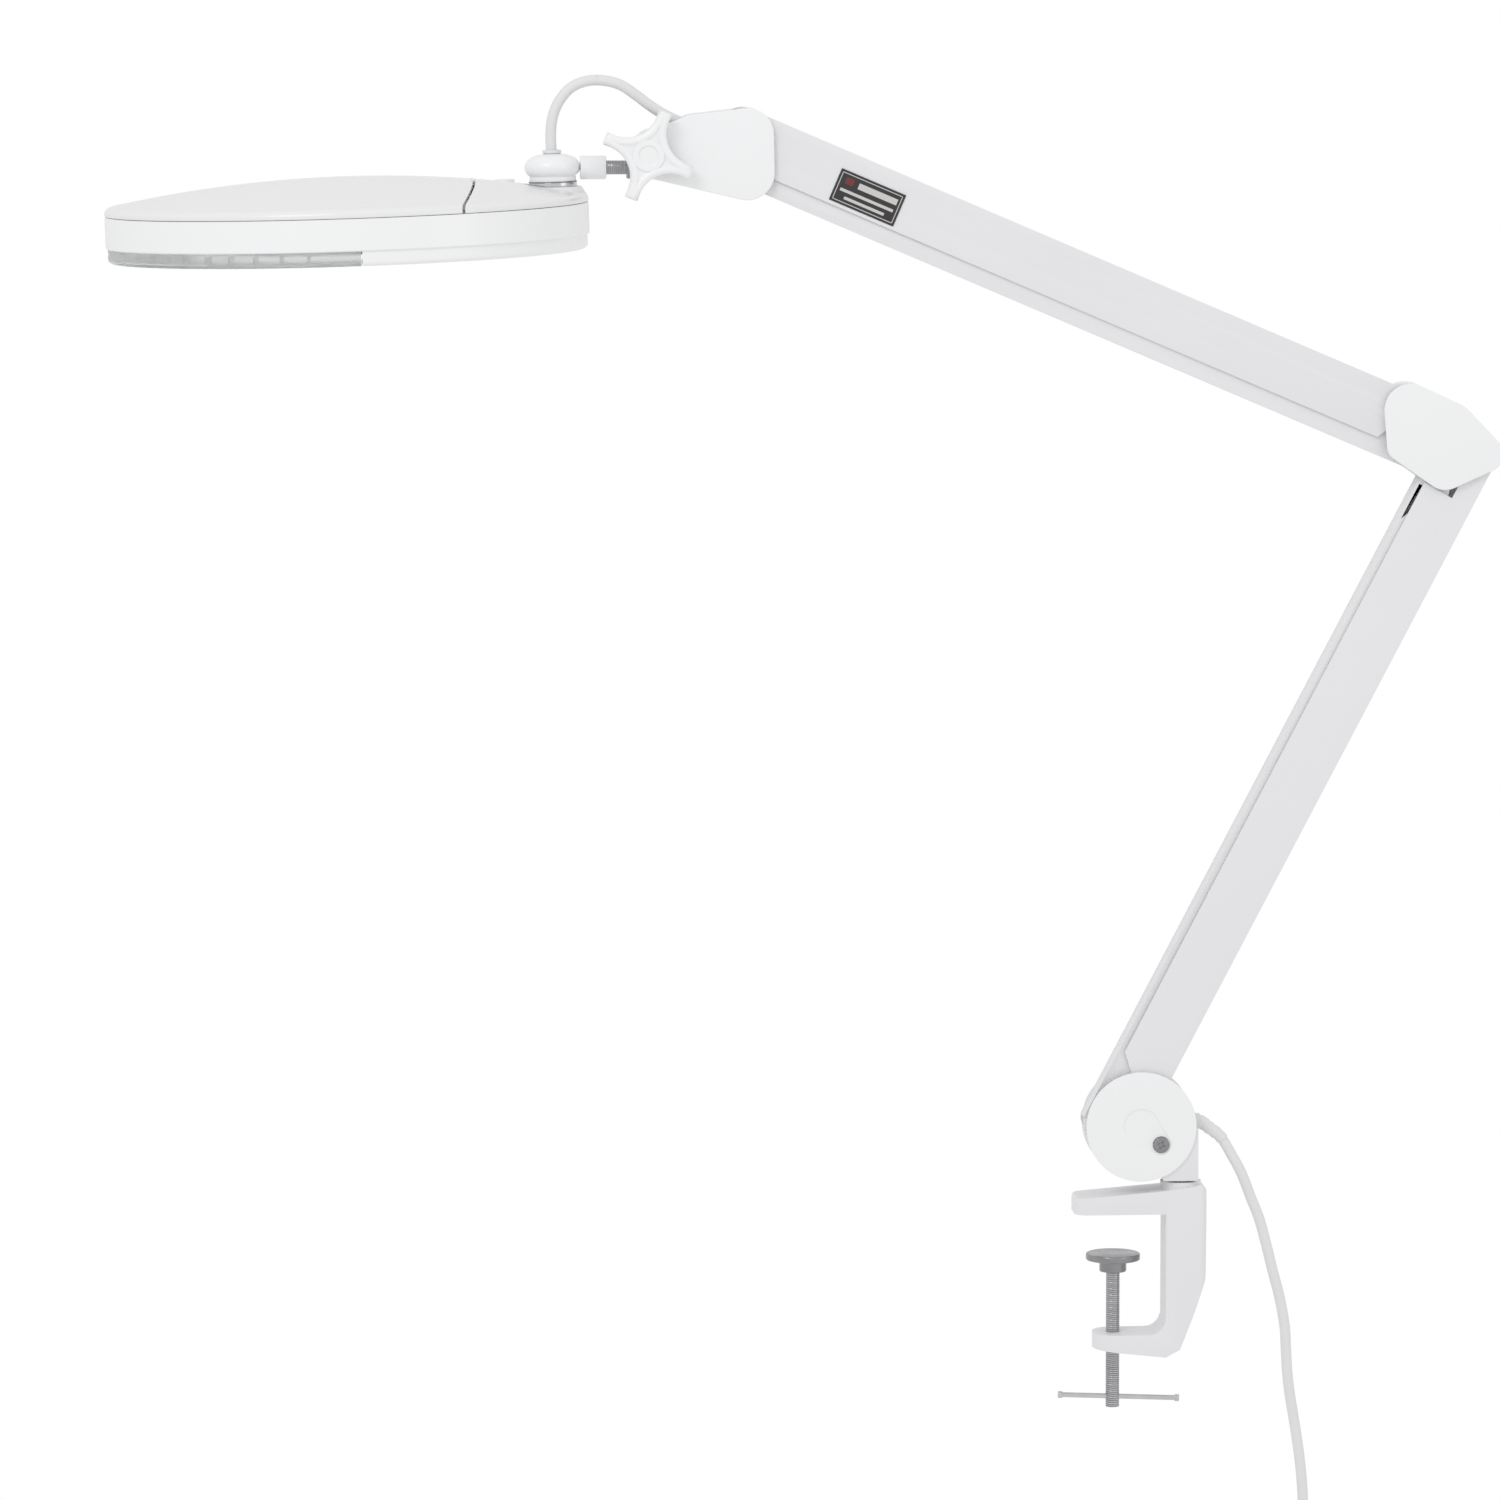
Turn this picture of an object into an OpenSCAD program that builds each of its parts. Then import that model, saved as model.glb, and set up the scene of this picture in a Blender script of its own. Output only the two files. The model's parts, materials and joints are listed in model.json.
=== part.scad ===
// Clamp-on magnifier lamp on a spring-balanced parallelogram arm.
// Origin: middle of the underside of the clamp's upper jaw, +X towards the back of the clamp,
// +Y across the lamp, +Z up. Millimetres.

/* [Clamp] */
// Width of the clamp casting across the lamp
clamp_w = 30; // [28:1:36]
// Clear height between the two jaws
jaw_gap = 72; // [66:1:90]
// Reach of the upper jaw in front of the origin
jaw_reach = 26.3; // [20:0.1:34]
// Thickness of the table top that the rest position holds
desk_t = 25; // [8:1:40]
// Diameter of the clamping screw
screw_d = 8; // [6:0.5:10]
// Diameter of the pressure pad
pad_d = 32; // [20:1:40]
// Length of the sliding tommy bar
bar_len = 72; // [56:1:90]
// Diameter of the tommy bar
bar_d = 3; // [2.5:0.1:3.6]

/* [Swivel] */
// Diameter of the pin that drops into the clamp
pin_d = 12.7; // [10:0.1:14]
// Depth of the pin below the top of the clamp boss
pin_depth = 48; // [30:1:60]

/* [Arm] */
// Length of the lower links between their pivots
lower_len = 432; // [340:1:520]
// Length of the upper links between their pivots
upper_len = 432; // [340:1:520]
// Lean of the lower arm from upright, in degrees
lower_lean = 27.55; // [20:0.05:35]
// Slope of the upper arm above level, in degrees
upper_slope = 23.2; // [15:0.1:30]
// Width of the outer channels
outer_w = 22; // [20:0.5:26]
// Depth of the outer channels from web to edge
outer_depth = 32; // [28:0.5:34]
// Width of the inner channels
inner_w = 18; // [15:0.5:18.5]
// Sheet thickness of the channels
sheet_t = 1.2; // [0.8:0.1:1.4]
// Diameter of the pivot pins
pivot_d = 6; // [5:0.5:6.5]

/* [Joints] */
// Thickness of the bracket side plates
plate_t = 1.3; // [1:0.1:2]
// Thickness of the joint covers
cover_t = 1.6; // [1.2:0.1:2.4]
// Radius of the round base cover
base_cover_r = 32.5; // [32:0.5:36]

/* [Head] */
// Radius of the round head
head_r = 140; // [136:1:160]
// Depth of the head's side wall below its seam
wall_h = 18.4; // [16:0.1:26]
// Depth of the diffuser skirt below the side wall
skirt_h = 8.4; // [6:0.1:12]
// Diameter of the lens
lens_d = 178; // [150:1:180]
// Thickness of the head's mouldings
shell_t = 2.2; // [1.6:0.1:2.6]
// Diameter of the power button
button_d = 12; // [9:0.5:14]
// Travel of the power button
button_travel = 1.5; // [0.8:0.1:1.6]

/* [Star knob] */
// Radius of the knob's tips
knob_r = 27; // [24:0.5:27]
// Radius of the knob between its tips
knob_waist_r = 13; // [12:0.5:15]
// Thickness of the knob
knob_t = 10; // [8:0.5:14]

/* [Cords] */
// Diameter of the mains cord and of the head cable
cord_d = 6.3; // [6:0.1:6.6]

/* [Hidden] */
$fn = 64;

// Clearances
run_fit = 0.05;
face_gap = 0.1;
open_pivot_gap = 0.5;

// Stack across the lamp, from the middle outwards
plate_in = outer_w / 2 + 0.6;
plate_out = plate_in + plate_t;
cover_out = plate_out + cover_t;

// Clamp
jaw_tip_h = 9.6;
jaw_root_h = 14.1;
back_in = 27.5;
back_out = 51.8;
swivel_x = 37.5;
boss_r = 12;
boss_top = 18.2;
pin_head_t = 3;
bush_t = 1.15;
low_jaw_x = -14.5;
low_jaw_top = -jaw_gap;
low_jaw_tip_h = 9;
low_jaw_root_h = 13.6;
jaw_fillet = 10;
screw_x = -2.4;
pad_t = 4;
pad_boss_h = 7;
pad_top = -desk_t;
spigot_d = 6;
spigot_len = 5.8;
screw_end_z = -117;
bar_z = -111;
bar_tilt = 2.3;
bar_end_d = 4.2;
bar_end_len = 2.5;

// Base joint
bracket_bottom = 19.5;
bracket_back = 46.6;
web_t = 2;
back_top = 50;
base_disc = [12.7, 52.2];
cover_screw = [24.4, 41.5];
cover_screw_d = 4;
screw_head_d = 9.4;
screw_head_t = 1.8;
screw_sink = 0.4;
recess_r = 10.6;
recess_t = 0.5;
recess_tip_r = 5.8;
plate_inset = 1.2;

// Pivot places
pivot_a = [10.4, 62.3];
base_pair = [-23, -6.9];
elbow_step = [-34.2, 25.6];
head_pair = [-8.2, -22.4];
lower_ang = 90 - lower_lean;
upper_ang = 180 - upper_slope;
function along(ang, len) = [len * cos(ang), len * sin(ang)];
pivot_b = pivot_a + along(lower_ang, lower_len);
pivot_c = pivot_b + elbow_step;
pivot_d2 = pivot_c + along(upper_ang, upper_len);
elbow_pivots = [pivot_b, pivot_b + base_pair, pivot_c, pivot_c + head_pair];

// Channels
outer_back = 9.6;
inner_back = 8.5;
inner_lip = 12;
pin_notch = 4.5;
tab_s = 200;
tab_t = 2;
tab_h = 5.4;
tab_w = 12;
spring_d = 7;
spring_y = 4;
spring_hook_d = 1.6;
spring_eye = 8;

// Outlines of the elbow and head joints as circles [x, z, r], counter-clockwise, from each pivot
elbow_outline = [[2.8, 2.2, 10.6], [-21.2, 13.7, 20], [-41.6, 28.3, 15.4], [-47.2, 6.7, 8], [-20.7, -5.3, 13.3]];
head_outline = [[2.3, -28, 15.8], [2.7, -5.7, 15], [-29, -2.5, 8.2], [-50.5, -17, 14.5]];
knob_axis = [-55.6, -17.4];

// Neck and ball
knob_c = pivot_d2 + knob_axis;
rod_drop = 7.6;
rod_d = 8.1;
rod_out = 24;
spout_d = 13.6;
spout_len = 15;
block_r = 11;
block_w = 23;
bolt_d = 6;
knob_gap = 3.5;

// Head: its own frame, origin in the middle of the seam between wall and cover
head_drop = [-173.6, -30.9];
head_tilt = 1.7;
head_c = knob_c + head_drop;
dome_h = 18.3;
dome_k = 0.0007;
swivel_s = 119.7;
boss_z = 8.8;
boss_seat_r = 17;
ball_washer_t = 0.8;
ball_foot_r = 13.5;
ball_foot_t = 4;
board_t = 1.6;
switch_h = 3.5;
switch_play = 0.2;
led_t = 0.9;
nut_room_r = 11;
stem_d = 12;
cable_bore = 7;
ball_r = 16.2;
ball_lo = 12.1;
ball_hi = 28;
well_r = lens_d / 2 + 2;
lens_t = 14;
lens_edge_t = 4;
lens_z = -10;
ledge_t = 2;
ledge_drop = 0.22;
hinge_s = 73.4;
hinge_z = 13.4;
hinge_r = 1.5;
hinge_pin_d = 1.6;
hinge_half = 18;
edge_arc_r = 845;
edge_s = 73.1;
edge_gap = 1.6;
rim_split = 6;
led_count = 36;
led_r = 116;
button_at = [93, 47];

// Mains cord and head cable, [x, z] in the middle plane
cord_route = [[45.5, 53.2], [49, 53], [54, 49.4], [61.4, 43.4], [67.3, 33.6], [73.8, 21.5], [79, 8], [84.4, -5.6],
  [88.5, -20.4], [92.6, -36.9], [96.8, -52.8], [100, -70.5], [100.9, -85.6], [101.8, -99], [103.4, -112],
  [105.6, -125], [108, -140], [110, -155], [111.4, -172], [112, -190]];
coil_c = [78, -222];
coil_r = 34;
coil_w = 19.6;
coil_h = 19;
tail_route = [[112, -253], [112, -264]];
plug_top = -264;
plug_len = 34;
plug_size = [26, 21];
cable_route = [[2.6, -1], [2.2, 8], [3, 17.6], [6.4, 27.1], [13.4, 35.9], [22.8, 40.3], [33, 40.6],
  [43, 37.5], [52, 31.5], [60, 25.5], [68, 20.5], [77, 16.2]];
cable_from = [-57.6, 2.4];

// ---------- helpers ----------

// Cylinder along Y at [x, z] between two places
module cyl_y(at, d, y0, y1) {
  translate([at[0], y1, at[1]]) rotate([90, 0, 0]) cylinder(d = d, h = y1 - y0);
}

// Outline in X and Z, extruded along Y between two places
module slab_y(y0, y1) {
  translate([0, y1, 0]) rotate([90, 0, 0]) linear_extrude(y1 - y0) children();
}

// The same on both sides of the middle plane
module both_sides(y0, y1) {
  slab_y(y0, y1) children();
  slab_y(-y1, -y0) children();
}

// Ring along Z
module ring_z(r_out, r_in, z0, z1) {
  translate([0, 0, z0]) difference() {
    cylinder(r = r_out, h = z1 - z0);
    translate([0, 0, -1]) cylinder(r = r_in, h = z1 - z0 + 2);
  }
}

// Ring along Y at [x, z]
module ring_y(at, d_out, d_in, y0, y1) {
  difference() {
    cyl_y(at, d_out, y0, y1);
    cyl_y(at, d_in, y0 - 1, y1 + 1);
  }
}

function arc(c, r, a0, a1, n) = [for (i = [0 : n]) c + along(a0 + (a1 - a0) * i / n, r)];

// Convex outline round circles [x, z, r] listed counter-clockwise
function side_angle(p, q) = atan2(q[1] - p[1], q[0] - p[0])
  - acos((p[2] - q[2]) / norm([q[0] - p[0], q[1] - p[1]]));
function turn(a, b) = (b - a) - 360 * floor((b - a) / 360);
function round_outline(c, at, grow) = [
  for (i = [0 : len(c) - 1])
    let (
      p = c[(i + len(c) - 1) % len(c)],
      q = c[(i + 1) % len(c)],
      a0 = side_angle(p, c[i]),
      sweep = turn(a0, side_angle(c[i], q)),
      n = max(1, ceil(sweep / 10))
    )
    for (k = [0 : n]) at + [c[i][0], c[i][1]] + along(a0 + sweep * k / n, c[i][2] + grow)
];

// Round tube along points in the middle plane
module tube(route, d, sides) {
  last = len(route) - 1;
  points = [
    for (i = [0 : last])
      let (
        step = route[min(i + 1, last)] - route[max(i - 1, 0)],
        dir = step / norm(step)
      )
      for (j = [0 : sides - 1])
        let (a = 360 * j / sides, u = d / 2 * cos(a), v = d / 2 * sin(a))
        [route[i][0] - dir[1] * u, v, route[i][1] + dir[0] * u]
  ];
  walls = [
    for (i = [0 : last - 1])
      for (j = [0 : sides - 1])
        let (k = (j + 1) % sides)
        [i * sides + j, (i + 1) * sides + j, (i + 1) * sides + k, i * sides + k]
  ];
  first_cap = [for (j = [0 : sides - 1]) j];
  last_cap = [for (j = [sides - 1 : -1 : 0]) last * sides + j];
  polyhedron(points, concat(walls, [first_cap, last_cap]));
}

// Frame of a link: +X along it from its lower pivot
module link(at, ang) {
  translate([at[0], 0, at[1]]) rotate([0, -ang, 0]) children();
}

// Frame of the head
module head_frame() {
  translate([head_c[0], 0, head_c[1]]) rotate([0, -head_tilt, 0]) children();
}

// Frame of the head's swivel axis
module swivel_frame() {
  head_frame() translate([swivel_s, 0, 0]) children();
}

// ---------- clamp ----------

module rounded_plan(x0, x1, w, r0, r1) {
  polygon(concat(
    arc([x0 + r0, -w / 2 + r0], r0, 180, 270, 8),
    arc([x1 - r1, -w / 2 + r1], r1, 270, 360, 8),
    arc([x1 - r1, w / 2 - r1], r1, 0, 90, 8),
    arc([x0 + r0, w / 2 - r0], r0, 90, 180, 8)
  ));
}

module clamp_profile() {
  fillet_c = [back_in - jaw_fillet, low_jaw_top + jaw_fillet];
  polygon(concat(
    [[-jaw_reach, 0], [back_in, 0]],
    arc(fillet_c, jaw_fillet, 0, -90, 8),
    [[low_jaw_x, low_jaw_top], [low_jaw_x, low_jaw_top - low_jaw_tip_h]],
    [[back_in, low_jaw_top - low_jaw_root_h], [36, low_jaw_top - 9], [44.5, low_jaw_top + 13]],
    [[51.2, low_jaw_top + 33], [back_out, -5], [back_out, jaw_root_h], [48.6, 17.1]],
    [[28.6, jaw_root_h], [-jaw_reach + 1.5, jaw_tip_h], [-jaw_reach, jaw_tip_h - 1.5]]
  ));
}

module clamp_body() {
  mid = low_jaw_top + 20;
  color("white") difference() {
    union() {
      intersection() {
        slab_y(-clamp_w / 2, clamp_w / 2) clamp_profile();
        union() {
          translate([0, 0, mid]) linear_extrude(100) rounded_plan(-jaw_reach, back_out, clamp_w, 7, 5);
          translate([0, 0, mid - 40]) linear_extrude(40) rounded_plan(low_jaw_x, back_out, clamp_w, 13, 5);
        }
      }
      translate([swivel_x, 0, 8]) cylinder(r = boss_r, h = boss_top - 8);
    }
    translate([swivel_x, 0, boss_top - pin_depth]) cylinder(d = pin_d + 2 * (run_fit + bush_t), h = 80);
    translate([screw_x, 0, low_jaw_top - 30]) cylinder(d = screw_d + 2 * run_fit, h = 31);
  }
}

module swivel_bush() {
  color("gray") translate([swivel_x, 0, 0])
    ring_z(pin_d / 2 + run_fit + bush_t, pin_d / 2 + run_fit, boss_top - pin_depth, boss_top);
}

module pressure_pad() {
  color("silver") translate([screw_x, 0, pad_top - pad_t]) difference() {
    union() {
      cylinder(d = pad_d, h = pad_t);
      translate([0, 0, -pad_boss_h]) cylinder(d = 16, h = pad_boss_h + 1);
    }
    translate([0, 0, -pad_boss_h - 1]) cylinder(d = spigot_d + 2 * run_fit, h = spigot_len + 1.4);
  }
}

module clamp_screw() {
  shoulder = pad_top - pad_t - pad_boss_h - face_gap;
  color("silver") difference() {
    translate([screw_x, 0, 0]) union() {
      translate([0, 0, screw_end_z]) cylinder(d = screw_d, h = shoulder - screw_end_z);
      translate([0, 0, shoulder - 1]) cylinder(d = spigot_d, h = spigot_len + 1);
    }
    translate([screw_x, 0, bar_z]) rotate([0, bar_tilt, 0]) rotate([0, 90, 0])
      translate([0, 0, -10]) cylinder(d = bar_d + 2 * run_fit, h = 20);
  }
}

module tommy_bar() {
  color("silver") translate([screw_x, 0, bar_z]) rotate([0, bar_tilt, 0]) rotate([0, 90, 0])
    translate([0, 0, 3.6 - bar_len / 2]) {
      cylinder(d = bar_d, h = bar_len);
      cylinder(d = bar_end_d, h = bar_end_len);
      translate([0, 0, bar_len - bar_end_len]) cylinder(d = bar_end_d, h = bar_end_len);
    }
}

// ---------- base joint ----------

module disc_2d(at, r) {
  translate([at[0], at[1]]) circle(r = r);
}

module base_plate_2d() {
  difference() {
    union() {
      disc_2d(base_disc, base_cover_r - plate_inset);
      polygon([[26, bracket_bottom], [bracket_back, bracket_bottom], [bracket_back, back_top], [40, 56], base_disc]);
    }
    disc_2d(pivot_a, pivot_d / 2);
    disc_2d(pivot_a + base_pair, pivot_d / 2);
    disc_2d(cover_screw, cover_screw_d / 2);
  }
}

module knuckle_bracket() {
  color("white") difference() {
    union() {
      both_sides(plate_in, plate_out) base_plate_2d();
      translate([26, -plate_out, bracket_bottom]) cube([bracket_back - 26, 2 * plate_out, web_t]);
      translate([bracket_back - web_t, -plate_out, bracket_bottom]) cube([web_t, 2 * plate_out, back_top - bracket_bottom]);
    }
    translate([swivel_x, 0, 0]) cylinder(d = pin_d, h = 40);
    translate([40, 0, 53.2]) rotate([0, 90, 0]) cylinder(d = 10, h = 20);
  }
}

module swivel_pin() {
  color("silver") translate([swivel_x, 0, 0]) {
    translate([0, 0, boss_top - pin_depth + 0.5]) cylinder(d = pin_d, h = bracket_bottom + web_t - boss_top + pin_depth);
    translate([0, 0, bracket_bottom + web_t]) cylinder(d = pin_d + 1, h = pin_head_t);
    translate([0, 0, boss_top + face_gap]) cylinder(d = pin_d + 6, h = bracket_bottom - boss_top - face_gap);
  }
}

// Face plate of a joint with a counterbored screw hole
module base_cover() {
  difference() {
    slab_y(-cover_out, -plate_out) disc_2d(base_disc, base_cover_r);
    cyl_y(cover_screw, cover_screw_d + 0.4, -cover_out - 1, -plate_out + 1);
    cyl_y(cover_screw, screw_head_d + 0.4, -cover_out - 1, -plate_out - screw_sink);
    slab_y(-cover_out - 1, -cover_out + recess_t) polygon(
      round_outline([[0, 0, recess_r], concat(cover_screw - base_disc, recess_tip_r)], base_disc, 0));
  }
}

module base_cover_front() {
  color("white") base_cover();
}

module base_cover_rear() {
  color("white") mirror([0, 1, 0]) base_cover();
}

module cover_screw_one() {
  cyl_y(cover_screw, cover_screw_d, -plate_out - screw_sink, -plate_in + 2);
  difference() {
    cyl_y(cover_screw, screw_head_d, -plate_out - screw_sink - screw_head_t, -plate_out - screw_sink);
    for (a = [20, 110])
      translate([cover_screw[0], -plate_out - screw_sink - screw_head_t, cover_screw[1]]) rotate([0, a, 0])
        cube([5, 1.6, 1], center = true);
  }
}

module base_cover_screws() {
  color("silver") {
    cover_screw_one();
    mirror([0, 1, 0]) cover_screw_one();
  }
}

module pins(places) {
  for (p = places) cyl_y(p, pivot_d, -plate_out, plate_out);
}

// Washers beside an outer channel and distance tubes beside an inner channel
module spacers(outer_places, inner_places) {
  for (side = [0, 1]) mirror([0, side, 0]) {
    for (p = outer_places) ring_y(p, 14, pivot_d, outer_w / 2 + face_gap, plate_in);
    for (p = inner_places) ring_y(p, 9, pivot_d, inner_w / 2 + face_gap, plate_in);
  }
}

module base_pivot_pins() {
  color("silver") pins([pivot_a, pivot_a + base_pair]);
}

module base_spacers() {
  color("gainsboro") spacers([pivot_a], [pivot_a + base_pair]);
}

module strain_relief() {
  color("white") difference() {
    translate([34, 0, 53.2]) rotate([0, 90, 0]) {
      cylinder(d = 10, h = bracket_back - 34);
      translate([0, 0, 4]) cylinder(d = 13, h = bracket_back - 34 - 4 - web_t);
      translate([0, 0, bracket_back - 34 - 1]) cylinder(d = 9.4, h = 3);
    }
    translate([30, 0, 53.2]) rotate([0, 90, 0]) cylinder(d = 7.2, h = 30);
  }
}

module mains_cord() {
  color("whitesmoke") {
    tube(cord_route, cord_d, 10);
    tube(tail_route, cord_d, 10);
  }
}

module cord_coil() {
  color("whitesmoke") ring_y(coil_c, 2 * coil_r + coil_h, 2 * coil_r - coil_h, -coil_w / 2, coil_w / 2);
}

module coil_tie() {
  at = coil_c + [-coil_r, 0];
  color("dimgray") difference() {
    translate([at[0] - coil_h / 2 - 1, -coil_w / 2 - 1, at[1] - 4]) cube([coil_h + 2, coil_w + 2, 8]);
    ring_y(coil_c, 2 * coil_r + coil_h, 2 * coil_r - coil_h, -coil_w / 2, coil_w / 2);
  }
}

module mains_plug() {
  x = tail_route[1][0];
  color("whitesmoke") union() {
    translate([x, 0, plug_top - 14]) cylinder(d = 11, h = 14);
    translate([x, 0, plug_top - plug_len]) linear_extrude(plug_len - 12)
      translate([-x, 0]) rounded_plan(x - plug_size[0] / 2, x + plug_size[0] / 2, plug_size[1], 7, 7);
  }
}

module plug_blades() {
  x = tail_route[1][0];
  z = plug_top - plug_len;
  color("gold") {
    for (s = [-1, 1]) translate([x + s * 6.35 - 0.75, -0.5, z - 17.8]) cube([1.5, 6.4, 17.8]);
    translate([x, -5.5, z - 21]) cylinder(d = 4.8, h = 21);
  }
}

// ---------- arm channels ----------

module spring_tab() {
  translate([tab_s, -tab_w / 2, -outer_back + sheet_t / 2]) cube([tab_t, tab_w, tab_h]);
}

// Flange edge of the lower outer channel: cut back at both ends for the neighbouring pins
module lower_outer_flange() {
  edge = outer_depth - outer_back;
  polygon(concat(
    arc([0, 0], outer_back, 270, 90, 16),
    [[14, outer_back], [27, edge], [lower_len - 27.5, edge], [lower_len - 28.5, 3.5], [lower_len - 12, 3.5]],
    arc([lower_len, 0], outer_back, 130, -90, 16)
  ));
}

module upper_outer_flange() {
  edge = outer_depth - outer_back;
  polygon(concat(
    arc([0, 0], outer_back, 270, 60, 16),
    [[14, 9.6], [16.5, 18], [19, edge], [upper_len - 23, edge], [upper_len - 21.5, 12]],
    arc([upper_len, 0], outer_back, 110, -90, 16)
  ));
}

module channel(len, w, back, gap_lo, gap_hi) {
  difference() {
    union() {
      both_sides(w / 2 - sheet_t, w / 2) children();
      translate([-2, -w / 2, -back]) cube([len + 4, w, sheet_t]);
    }
    cyl_y([0, 0], pivot_d + 2 * gap_lo, -w, w);
    cyl_y([len, 0], pivot_d + 2 * gap_hi, -w, w);
  }
}

module lower_outer_channel() {
  color("white") link(pivot_a, lower_ang) union() {
    channel(lower_len, outer_w, outer_back, run_fit, run_fit) lower_outer_flange();
    spring_tab();
  }
}

module upper_outer_channel() {
  color("white") link(pivot_c, upper_ang) union() {
    channel(upper_len, outer_w, outer_back, run_fit, run_fit) upper_outer_flange();
    spring_tab();
  }
}

// The inner channels open the other way; the far pivot of each linkage has play
module lower_inner_flange() {
  difference() {
    polygon(concat(
      arc([0, 0], inner_back, 270, 120, 12),
      [[10, pin_notch], [30, pin_notch], [38, inner_lip], [lower_len - 14, inner_lip]],
      arc([lower_len, 0], inner_back, 60, -90, 12)
    ));
    polygon([[lower_len - 36, -inner_back + 1.4], [lower_len - 13, -inner_back + 1.4], [lower_len - 13, 4]]);
  }
}

module upper_inner_flange() {
  polygon(concat(
    arc([0, 0], inner_back, 270, 120, 12),
    [[14, inner_lip], [upper_len - 14, inner_lip]],
    arc([upper_len, 0], inner_back, 60, -90, 12)
  ));
}

module lower_inner_channel() {
  color("white") link(pivot_a + base_pair, lower_ang) mirror([0, 0, 1])
    channel(lower_len, inner_w, inner_back, run_fit, open_pivot_gap) lower_inner_flange();
}

module upper_inner_channel() {
  color("white") link(pivot_c + head_pair, upper_ang) mirror([0, 0, 1])
    channel(upper_len, inner_w, inner_back, run_fit, open_pivot_gap) upper_inner_flange();
}

// Two springs from the fixed pin beside the link's lower pivot to the tab inside the channel
module springs(at, ang, pair) {
  from = at + pair;
  to = at + along(ang, tab_s) + along(ang - 90, 6);
  step = to - from;
  reach = norm(step);
  dir = atan2(step[1], step[0]);
  link(from, dir) for (y = [-spring_y, spring_y]) translate([0, y, 0]) rotate([0, 90, 0]) {
    translate([0, 0, spring_eye]) cylinder(d = spring_d, h = reach - 2 * spring_eye);
    translate([0, 0, pivot_d / 2 + 0.2]) cylinder(d = spring_hook_d, h = spring_eye);
    translate([0, 0, reach - spring_eye]) cylinder(d = spring_hook_d, h = spring_eye - 0.6);
  }
}

module lower_springs() {
  color("silver") springs(pivot_a, lower_ang, base_pair);
}

module upper_springs() {
  color("silver") springs(pivot_c, upper_ang, head_pair);
}

module label_plate() {
  color("black") link(pivot_c, upper_ang)
    translate([349, -outer_w / 2 - 0.5, 10.6]) rotate([90, 0, 0]) translate([0, 0, -0.5])
      translate([-20.3, -9.8, 0]) cube([40.6, 19.6, 0.5]);
}

// ---------- elbow ----------

module joint_plate_2d(outline, at, holes) {
  difference() {
    polygon(round_outline(outline, at, -plate_inset));
    for (p = holes) disc_2d(p, pivot_d / 2);
  }
}

module elbow_plates() {
  color("white") both_sides(plate_in, plate_out) joint_plate_2d(elbow_outline, pivot_b, elbow_pivots);
}

module elbow_cover_front() {
  color("white") slab_y(-cover_out, -plate_out) polygon(round_outline(elbow_outline, pivot_b, 0));
}

module elbow_cover_rear() {
  color("white") slab_y(plate_out, cover_out) polygon(round_outline(elbow_outline, pivot_b, 0));
}

module elbow_pivot_pins() {
  color("silver") pins(elbow_pivots);
}

module elbow_spacers() {
  color("gainsboro") spacers([elbow_pivots[0], elbow_pivots[2]], [elbow_pivots[1], elbow_pivots[3]]);
}

// ---------- head joint ----------

module head_plates() {
  color("white") difference() {
    union() {
      both_sides(plate_in, plate_out)
        joint_plate_2d(head_outline, pivot_d2, [pivot_d2, pivot_d2 + head_pair]);
      translate([pivot_d2[0] - 32, -plate_out, pivot_d2[1] - 36]) cube([14, 2 * plate_out, 2]);
    }
    cyl_y(knob_c, bolt_d + 2 * run_fit, -30, 30);
  }
}

module head_cover(y0, y1) {
  difference() {
    slab_y(y0, y1) polygon(round_outline(head_outline, pivot_d2, 0));
    cyl_y(knob_c, bolt_d + 2 * run_fit, -30, 30);
  }
}

module head_cover_front() {
  color("white") head_cover(-cover_out, -plate_out);
}

module head_cover_rear() {
  color("white") head_cover(plate_out, cover_out);
}

module head_pivot_pins() {
  color("silver") pins([pivot_d2, pivot_d2 + head_pair]);
}

module head_spacers() {
  color("gainsboro") spacers([pivot_d2], [pivot_d2 + head_pair]);
}

module tilt_bolt() {
  color("silver") {
    cyl_y(knob_c, bolt_d, -cover_out - knob_gap - knob_t + 2, cover_out + 4.5);
  }
}

module tilt_nut() {
  color("silver") difference() {
    translate([knob_c[0], cover_out + 4.8, knob_c[1]]) rotate([90, 0, 0]) cylinder(d = 11.5, h = 4.8, $fn = 6);
    cyl_y(knob_c, bolt_d, 0, 30);
  }
}

module head_cable() {
  color("whitesmoke") tube([for (p = cable_route) knob_c + cable_from + p], cord_d, 10);
}

module star_2d() {
  scallop_c = 31.7;
  scallop_r = scallop_c - knob_waist_r;
  difference() {
    circle(r = knob_r);
    for (k = [0 : 3]) rotate(68 + 45 + 90 * k) translate([scallop_c, 0]) circle(r = scallop_r);
  }
}

module star_knob() {
  face = cover_out + knob_gap;
  color("white") difference() {
    union() {
      slab_y(-face - knob_t, -face) translate([knob_c[0], knob_c[1]]) star_2d();
      cyl_y(knob_c, 16, -face - 1, -cover_out - face_gap);
    }
    cyl_y(knob_c, bolt_d + 2 * run_fit, -face - knob_t + 2 - face_gap, 0);
    cyl_y(knob_c, 10.2, -face - knob_t - 1, -face - knob_t + 0.6);
  }
}

// ---------- neck and ball ----------

rod_z = knob_c[1] - rod_drop;

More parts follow.
